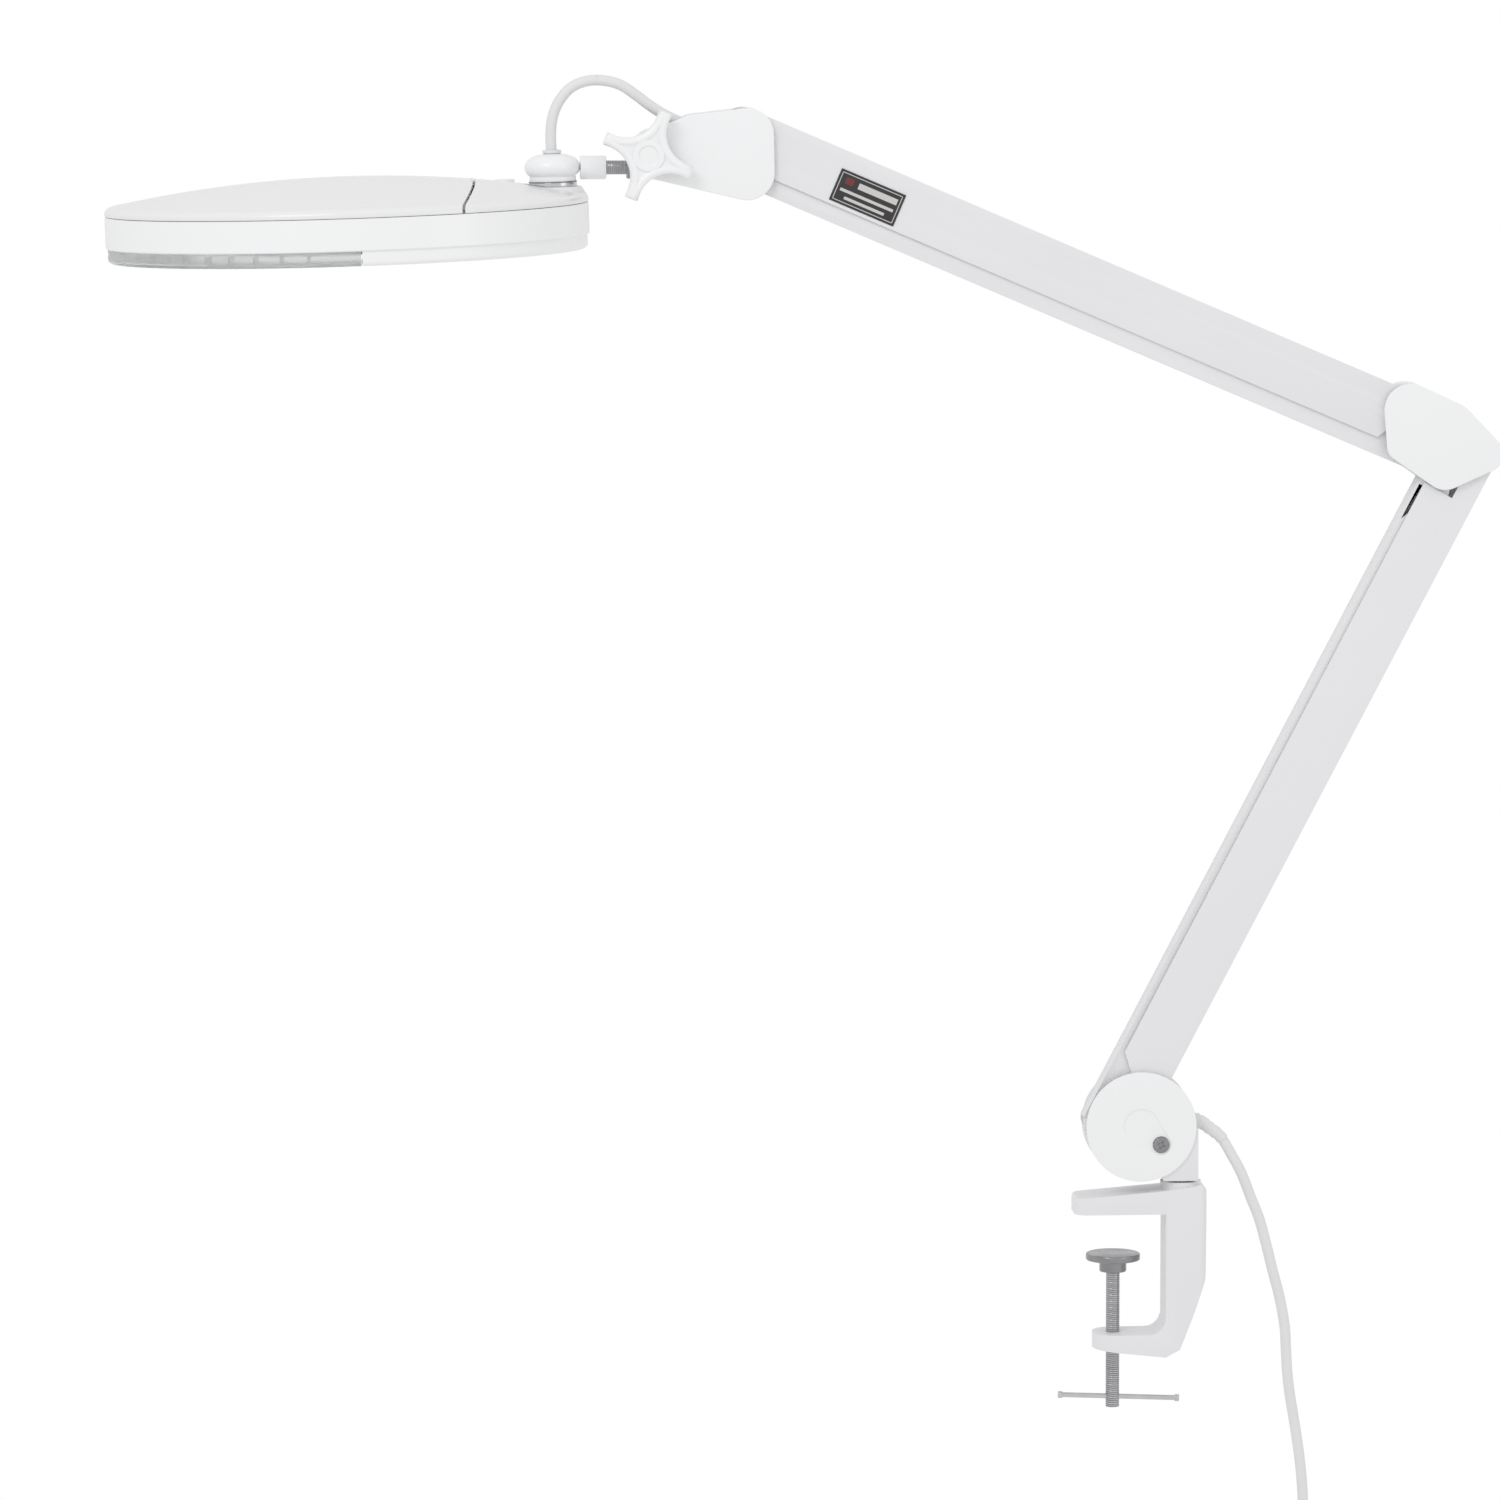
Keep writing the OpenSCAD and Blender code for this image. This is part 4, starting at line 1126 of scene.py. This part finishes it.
@dataclass
class StarKnob:
    """The four-lobed knob: a raised rim round a sunk face, with a disc at its middle."""

    centre: Vector
    tip: float = 27.0 * MM
    waist_offset: float = 31.7 * MM
    waist_radius: float = 18.7 * MM
    face: float = -18.0 * MM
    thick: float = 10.0 * MM
    turn: float = 68.0
    # depth below the nearer face and inset of the outline, in millimetres, from the back to the front
    back_steps: tuple[Point, ...] = ((0.0, 2.2), (0.5, 1.0), (1.4, 0.25), (2.4, 0.0))
    front_steps: tuple[Point, ...] = ((2.4, 0.0), (1.4, 0.3), (0.6, 0.9), (0.15, 1.7), (0.0, 2.4), (0.0, 3.2),
                                      (0.2, 3.9), (0.9, 4.6), (1.2, 5.4))

    def outline(self, degrees: float, inset: float) -> float:
        """The outline's radius at an angle.

        Args:
            degrees: Angle round the knob.
            inset: How far inside the outer edge.

        Returns:
            The radius.
        """
        lobe = math.radians((degrees - self.turn) % 90.0 - 45.0)
        across = self.waist_offset * math.sin(lobe)
        radius = self.waist_radius + inset
        outer = self.tip - inset
        if abs(across) >= radius:
            return outer
        hollow = self.waist_offset * math.cos(lobe) - math.sqrt(radius ** 2 - across ** 2)
        soft = 3.0 * MM
        blend = max(soft - abs(outer - hollow), 0.0) / soft
        return min(outer, hollow) - blend * blend * soft * 0.25

    def build(self) -> None:
        """Build the knob."""
        front = self.face - self.thick
        layers = [(self.face - depth * MM, inset * MM) for depth, inset in self.back_steps]
        layers += [(front + depth * MM, inset * MM) for depth, inset in self.front_steps]
        rings = []
        for y, inset in layers:
            ring = []
            for degrees in range(0, 360, 2):
                radius, turn = self.outline(degrees, inset), math.radians(degrees)
                ring.append(self.centre + Vector((radius * math.cos(turn), y, radius * math.sin(turn))))
            rings.append(ring)
        grip = shade(skin("knob_grip", rings), 35.0)
        dress(grip, WHITE_MOULDING, "knob", ["star_knob"])
        down = Matrix.Translation((self.centre.x, 0.0, self.centre.z)) @ Matrix.Rotation(math.pi / 2, 4, "X")
        hub = lathe("knob_hub", [(8.0 * MM, -self.face - 3.3 * MM), (8.0 * MM, -self.face + 1.0 * MM),
                                 (3.2 * MM, -self.face + 1.0 * MM), (3.2 * MM, -self.face - 3.3 * MM)], 64)
        placed(hub, down)
        dress(shade(hub), WHITE_MOULDING, "knob")
        top = -front
        cap = lathe("knob_centre", [(0.0, top - 1.5 * MM), (9.2 * MM, top - 1.5 * MM),
                                    (9.2 * MM, top - 0.35 * MM),
                                    (8.8 * MM, top - 0.05 * MM), (6.2 * MM, top - 0.05 * MM),
                                    (5.7 * MM, top - 0.35 * MM), (5.4 * MM, top - 0.9 * MM),
                                    (0.0, top - 0.9 * MM)], 72)
        placed(cap, down)
        dress(shade(cap, 30.0), WHITE_MOULDING, "knob")


@dataclass
class BallNeck:
    """The neck's block and rod, and the ball housing that carries the head."""

    head: Matrix
    rod: Vector
    swivel: float = 119.7 * MM
    radius: float = 16.2 * MM
    low: float = 12.1 * MM
    high: float = 28.0 * MM
    foot: float = 13.5 * MM
    spout: float = 6.8 * MM
    spout_from: float = -38.4 * MM
    spout_to: float = -23.4 * MM
    thread_from: float = -23.2 * MM
    thread_length: float = 11.4 * MM
    thread_radius: float = 3.75 * MM
    thread_wire: float = 0.36 * MM
    pitch: float = 1.25 * MM

    def ball(self) -> None:
        """The flattened ball with its side spout."""
        steps = 48
        middle, half = (self.low + self.high) / 2, (self.high - self.low) / 2
        profile = []
        for i in range(steps + 1):
            lean = math.radians(-90.0 + 180.0 * i / steps)
            r, z = self.radius * max(math.cos(lean), 0.0) ** 0.75, middle + half * math.sin(lean)
            profile.append((max(r, self.foot) if z < self.low + 2.6 * MM else r, z))
        profile = [(3.5 * MM, self.low), *[p for p in profile if p[0] > 3.6 * MM], (3.5 * MM, self.high)]
        ball = lathe("ball_cap", profile, 120)
        placed(ball, self.head @ Matrix.Translation((self.swivel, 0.0, 0.0)))
        length = self.spout_to - self.spout_from
        r = self.spout
        nose = lathe("ball_spout", [(0.0, 0.0), (r, 0.0), (r, length - 0.8 * MM),
                                    (r - 0.25 * MM, length - 0.25 * MM),
                                    (r - 0.8 * MM, length), (4.1 * MM, length), (4.1 * MM, length - 2.0 * MM),
                                    (0.0, length - 2.0 * MM)], 64)
        placed(nose, Matrix.Translation((self.rod.x + self.spout_from, 0.0, self.rod.z))
               @ Matrix.Rotation(math.pi / 2, 4, "Y"))
        cut(ball, nose, "UNION")
        shade(outward(ball), 38.0)
        dress(ball, WHITE_MOULDING, "ball", ["ball_housing"])

    def rod_thread(self) -> None:
        """The visible threaded end of the neck rod."""
        length = self.thread_length
        ridge = wound_wire("rod_thread", self.thread_radius, self.thread_wire, length, length / self.pitch,
                           BRIGHT_STEEL, 24, 6)
        start = Matrix.Translation((self.rod.x + self.thread_from, 0.0, self.rod.z))
        placed(ridge, start @ Matrix.Rotation(math.pi / 2, 4, "Y"))
        dress(ridge, BRIGHT_STEEL, "neck")

    def build(self) -> None:
        """Build the neck and the ball."""
        for part in (Part("neck_block", "neck_body", ZINC_STEEL, "neck", 0.7 * MM),
                     Part("neck_rod", "neck_bar", ZINC_STEEL, "neck", 0.3 * MM),
                     Part("ball_washer", "ball_ring", ZINC_STEEL, "ball", 0.15 * MM),
                     Part("cable_gland", "ball_gland", CORD_SHEATH, "ball", 0.4 * MM)):
            part.build()
        self.ball()
        self.rod_thread()


@dataclass
class LampHead:
    """The round head: wall, rear shell, lens cover, lens, lights and diffuser skirt."""

    frame: Matrix
    radius: float = 139.95 * MM
    wall: float = 18.4 * MM
    skirt: float = 8.4 * MM
    well: float = 91.0 * MM
    sheet: float = 2.2 * MM
    dome_high: float = 18.3 * MM
    dome_fall: float = 0.7
    shoulder_wide: float = 7.0 * MM
    shoulder_high: float = 4.0 * MM
    swivel: float = 119.7 * MM
    boss_top: float = 8.8 * MM
    edge_at: float = 73.1 * MM
    edge_radius: float = 845.0 * MM
    edge_gap: float = 1.6 * MM
    hinge: Point = (73.4 * MM, 13.4 * MM)
    hinge_half: float = 18.0 * MM
    slot_radius: float = 1.8 * MM
    slot_play: float = 0.4 * MM
    barrel_radii: Point = (0.85 * MM, 1.5 * MM)
    button: Point = (93.0 * MM, 47.0 * MM)
    button_hole: float = 6.3 * MM
    stem_hole: float = 6.05 * MM
    split: float = 6.0 * MM

    def dome(self, r: float) -> float:
        """Height of the dome at a radius."""
        return self.dome_high - self.dome_fall * r * r

    def dome_profile(self) -> list[Point]:
        """Closed profile of the whole dome with a rounded shoulder and a short rim."""
        shoulder = self.radius - self.shoulder_wide
        top = self.dome(shoulder)
        outer = [(shoulder * i / 40, self.dome(shoulder * i / 40)) for i in range(41)]
        for turn in (math.radians(degrees) for degrees in (24, 34, 44, 54, 64, 74, 84, 90)):
            outer.append((shoulder + self.shoulder_wide * math.sin(turn),
                          top - self.shoulder_high * (1 - math.cos(turn))))
        inside = self.radius - self.sheet
        rim = [(self.radius, 0.9 * MM), (self.radius - 0.35 * MM, 0.35 * MM), (inside, 0.3 * MM),
               (inside, top - self.shoulder_high + 0.4 * MM)]
        reach = shoulder - 1.0 * MM
        inner = [(reach * i / 20, self.dome(reach * i / 20) - self.sheet) for i in range(20, -1, -1)]
        return outer + rim + inner

    def edge_tool(self, gap: float) -> bpy.types.Object:
        """A tall disc whose side is the cover's gently curved rear edge, moved out by a gap."""
        reach = self.edge_radius + gap
        tool = lathe("edge_tool", [(0.0, -0.04), (reach, -0.04), (reach, 0.08), (0.0, 0.08)], 720)
        return placed(tool, Matrix.Translation((self.edge_at - self.edge_radius, 0.0, 0.0)))

    def barrel(self, name: str, low: float, high: float, tab: float) -> bpy.types.Object:
        """A hinge barrel along Y with a tab to one side.

        Args:
            name: The object's name.
            low: Where it starts along Y.
            high: Where it ends.
            tab: How far the tab reaches along X.

        Returns:
            The barrel at the hinge.
        """
        bore, radius = self.barrel_radii
        round_part = lathe(name, [(bore, low), (radius, low), (radius, high), (bore, high)], 40)
        placed(round_part, Matrix.Rotation(-math.pi / 2, 4, "X"))
        middle = (low + high) / 2
        web = block(name + "_tab", (abs(tab) - 1.0 * MM, high - low, 1.5 * MM),
                    (math.copysign((abs(tab) + 1.0 * MM) / 2, tab), middle, -0.4 * MM))
        pair = joined(name, [round_part, web])
        return placed(pair, Matrix.Translation((self.hinge[0], 0.0, self.hinge[1])))

    def cover(self) -> None:
        """The lens cover that tilts up on its hinge."""
        lid = lathe("lid", self.dome_profile(), 240)
        cut(lid, self.edge_tool(0.0), "INTERSECT")
        half = self.hinge_half + self.slot_play
        r = self.slot_radius
        slot = lathe("hinge_slot", [(0.0, -half), (r, -half), (r, half), (0.0, half)], 40)
        hinge = Matrix.Translation((self.hinge[0], 0.0, self.hinge[1]))
        placed(slot, hinge @ Matrix.Rotation(math.pi / 2, 4, "X"))
        cut(lid, slot)
        lid = joined("lens_lid", [lid, self.barrel("lid_barrel", -9.0 * MM, 9.0 * MM, -4.0 * MM)])
        shade(placed(lid, self.frame), 30.0)
        dress(lid, LID_MOULDING, "cover", ["lens_cover"])
        pin = softened("hinge_pin", "lid_pin", 0.1 * MM)
        dress(pin, BRIGHT_STEEL, "cover", ["hinge_pin"])

    def rear(self) -> None:
        """The fixed rear shell with the swivel's boss and the button's hole."""
        shell = lathe("rear", self.dome_profile(), 240)
        cut(shell, self.edge_tool(self.edge_gap), "DIFFERENCE")
        at_swivel = Matrix.Translation((self.swivel, 0.0, 0.0))
        top = self.boss_top
        boss = lathe("rear_boss", [(0.0, 0.3 * MM), (21.7 * MM, 0.3 * MM), (16.6 * MM, top - 0.4 * MM),
                                   (16.0 * MM, top), (0.0, top)], 96)
        placed(boss, at_swivel)
        room = self.radius - 0.4 * MM
        limit = lathe("boss_limit", [(0.0, -0.01), (room, -0.01), (room, 0.03), (0.0, 0.03)], 240)
        cut(boss, limit, "INTERSECT")
        seat = lathe("boss_seat", [(0.0, top), (16.6 * MM, top), (17.2 * MM, top + 3 * MM),
                                   (17.2 * MM, 0.06), (0.0, 0.06)], 96)
        placed(seat, at_swivel)
        cut(shell, seat)
        cut(shell, boss, "UNION")
        for r, x, y in ((self.stem_hole, self.swivel, 0.0), (self.button_hole, *self.button)):
            hole = lathe("hole", [(0.0, -0.01), (r, -0.01), (r, 0.05), (0.0, 0.05)], 64)
            cut(shell, placed(hole, Matrix.Translation((x, y, 0.0))))
        barrels = [self.barrel("rear_barrel", middle - 4.4 * MM, middle + 4.4 * MM, 5.0 * MM)
                   for middle in (-13.6 * MM, 13.6 * MM)]
        shell = joined("rear_dome", [shell, *barrels])
        shade(placed(shell, self.frame), 30.0)
        dress(shell, LID_MOULDING, "head", ["rear_shell"])

    def base_ring(self) -> None:
        """The head's side wall with its deck and the lens's seat."""
        r, w = self.radius, self.well
        foot, lip = w + self.sheet, -self.wall - 4.0 * MM
        profile = [(r - 0.5 * MM, 0.0), (r, -0.5 * MM), (r, 0.7 * MM - self.wall), (r - 0.6 * MM, -self.wall),
                   (r - self.sheet, -self.wall), (r - self.sheet, -self.sheet), (foot, -self.sheet),
                   (foot, lip + 0.4 * MM), (foot - 0.4 * MM, lip), (w, lip), (w, -14.0 * MM),
                   (w - 3.7 * MM, -14.0 * MM), (w - 4.0 * MM, -13.7 * MM), (w - 4.0 * MM, -12.0 * MM),
                   (w, -12.0 * MM), (w, -0.6 * MM), (w + 0.6 * MM, 0.0)]
        ring = lathe("head_ring", profile, 240)
        r = self.stem_hole
        hole = lathe("stem_hole", [(0.0, -0.01), (r, -0.01), (r, 0.01), (0.0, 0.01)], 48)
        cut(ring, placed(hole, Matrix.Translation((self.swivel, 0.0, 0.0))))
        shade(placed(ring, self.frame), 30.0)
        dress(ring, WHITE_MOULDING, "head", ["head_shell"])

    def half_skirt(self, name: str, front: bool, finish: Finish, node: str) -> None:
        """One of the two half rings under the wall.

        Args:
            name: The new object's name.
            front: Whether it is the front half.
            finish: Its finish.
            node: The node that it replaces.
        """
        outer, low = self.radius - 1.2 * MM, -self.wall - self.skirt
        inner = self.well + self.sheet + 0.4 * MM
        corner = arc_points((outer - 2.6 * MM, low + 2.6 * MM), 2.6 * MM, 0.0, -90.0, 8)
        profile = [(outer - self.sheet, -self.wall), (outer, -self.wall), *corner, (inner, low),
                   (inner, low + 2.0 * MM),
                   (outer - 2.6 * MM, low + 2.0 * MM), (outer - self.sheet, low + 2.6 * MM)]
        ring = lathe(name, profile, 240)
        x0, x1 = (-0.16, self.split) if front else (self.split + 0.6 * MM, 0.16)
        keep = block("half_room", (x1 - x0, 0.32, 0.06), ((x0 + x1) / 2, 0.0, -0.02))
        cut(ring, keep, "INTERSECT")
        shade(placed(ring, self.frame), 30.0)
        dress(ring, finish, "head", [node])

    def lights(self) -> None:
        """The ring of lights, instanced on an arc that leaves room for the swivel's nut."""
        ring = blocks_on_arc("light_ring", 116.0 * MM, 15.0, 330.0, 34, (0.9 * MM, 3.5 * MM, 5.0 * MM),
                             PHOSPHOR)
        placed(ring, self.frame @ Matrix.Translation((0.0, 0.0, -4.25 * MM)))
        dress(ring, PHOSPHOR, "head", ["leds"])

    def ribs(self) -> None:
        """Short upright ribs inside the clear half of the skirt."""
        made = blocks_on_arc("skirt_ribs", 133.6 * MM, 100.0, 160.0, 25, (5.2 * MM, 4.0 * MM, 1.2 * MM),
                             SKIRT_PLASTIC)
        placed(made, self.frame @ Matrix.Translation((0.0, 0.0, -self.wall - self.skirt + 4.6 * MM)))
        dress(made, SKIRT_PLASTIC, "head")

    def build(self) -> None:
        """Build the head."""
        self.base_ring()
        self.half_skirt("skirt_front", True, SKIRT_PLASTIC, "diffuser")
        self.half_skirt("skirt_rear", False, WHITE_MOULDING, "lower_rim")
        self.rear()
        self.cover()
        self.lights()
        self.ribs()
        for part in (Part("lens", "lens_disc", LENS_GLASS, "head", 0.3 * MM),
                     Part("led_board", "light_board", SOLDER_MASK, "head", 0.1 * MM),
                     Part("driver", "driver_block", DARK_PLASTIC, "head", 0.4 * MM),
                     Part("switch_body", "switch_block", DARK_PLASTIC, "head", 0.4 * MM),
                     Part("swivel_stem", "swivel_tube", ZINC_STEEL, "head", 0.2 * MM),
                     Part("stem_nut", "swivel_nut", ZINC_STEEL, "head", 0.4 * MM),
                     Part("wave_washer", "swivel_spring", BRIGHT_STEEL, "head", 0.2 * MM),
                     Part("power_button", "push_button", WHITE_MOULDING, "button", 1.0 * MM, 4)):
            part.build()


# ---------------------------------------------------------------- whole lamp


def write_box(sizes: dict, key: str) -> None:
    """Add the present box to the sizes in millimetres.

    Args:
        sizes: The dictionary to fill.
        key: The box's name.
    """
    low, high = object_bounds()
    sizes[key] = {"low_mm": [round(v * 1000, 2) for v in low], "high_mm": [round(v * 1000, 2) for v in high],
                  "size_mm": [round((b - a) * 1000, 2) for a, b in zip(low, high)]}


@dataclass(frozen=True)
class Stance:
    """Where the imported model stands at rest, from its joints, with leans in degrees."""

    lower_lean: float = 62.45
    upper_lean: float = 156.8
    head_lean: float = 1.7
    head_back: float = 173.6 * MM
    head_drop: float = 30.9 * MM
    rod_drop: float = 7.6 * MM
    lower_pair: Point = (-23.0 * MM, -6.9 * MM)
    upper_pair: Point = (-8.2 * MM, -22.4 * MM)


def main() -> None:
    """Build the lamp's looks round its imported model."""
    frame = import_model()
    stance = Stance()
    sizes: dict = {}
    write_box(sizes, "cad")
    Studio().build()
    base_pivot, elbow_pivot = pivot(frame, "lower_lift"), pivot(frame, "upper_lift")
    knob = pivot(frame, "head_tilt")
    knob.y = 0.0
    rod = knob - Vector((0.0, 0.0, stance.rod_drop))
    head = link_frame(knob.x - stance.head_back, knob.z - stance.head_drop, stance.head_lean)
    upper = link_frame(elbow_pivot.x, elbow_pivot.z, stance.upper_lean)
    for assembly in (MainsCord(), HeadCable(knob), ClampAssembly(), BaseKnuckle(),
                     ArmStage("lower", "knuckle", base_pivot, stance.lower_pair, stance.lower_lean),
                     ElbowJoint(),
                     ArmStage("upper", "elbow", elbow_pivot, stance.upper_pair, stance.upper_lean),
                     Label(upper), HeadBracket(), StarKnob(knob), BallNeck(head, rod), LampHead(head)):
        assembly.build()
    write_box(sizes, "visual")


if __name__ == "__main__":
    main()
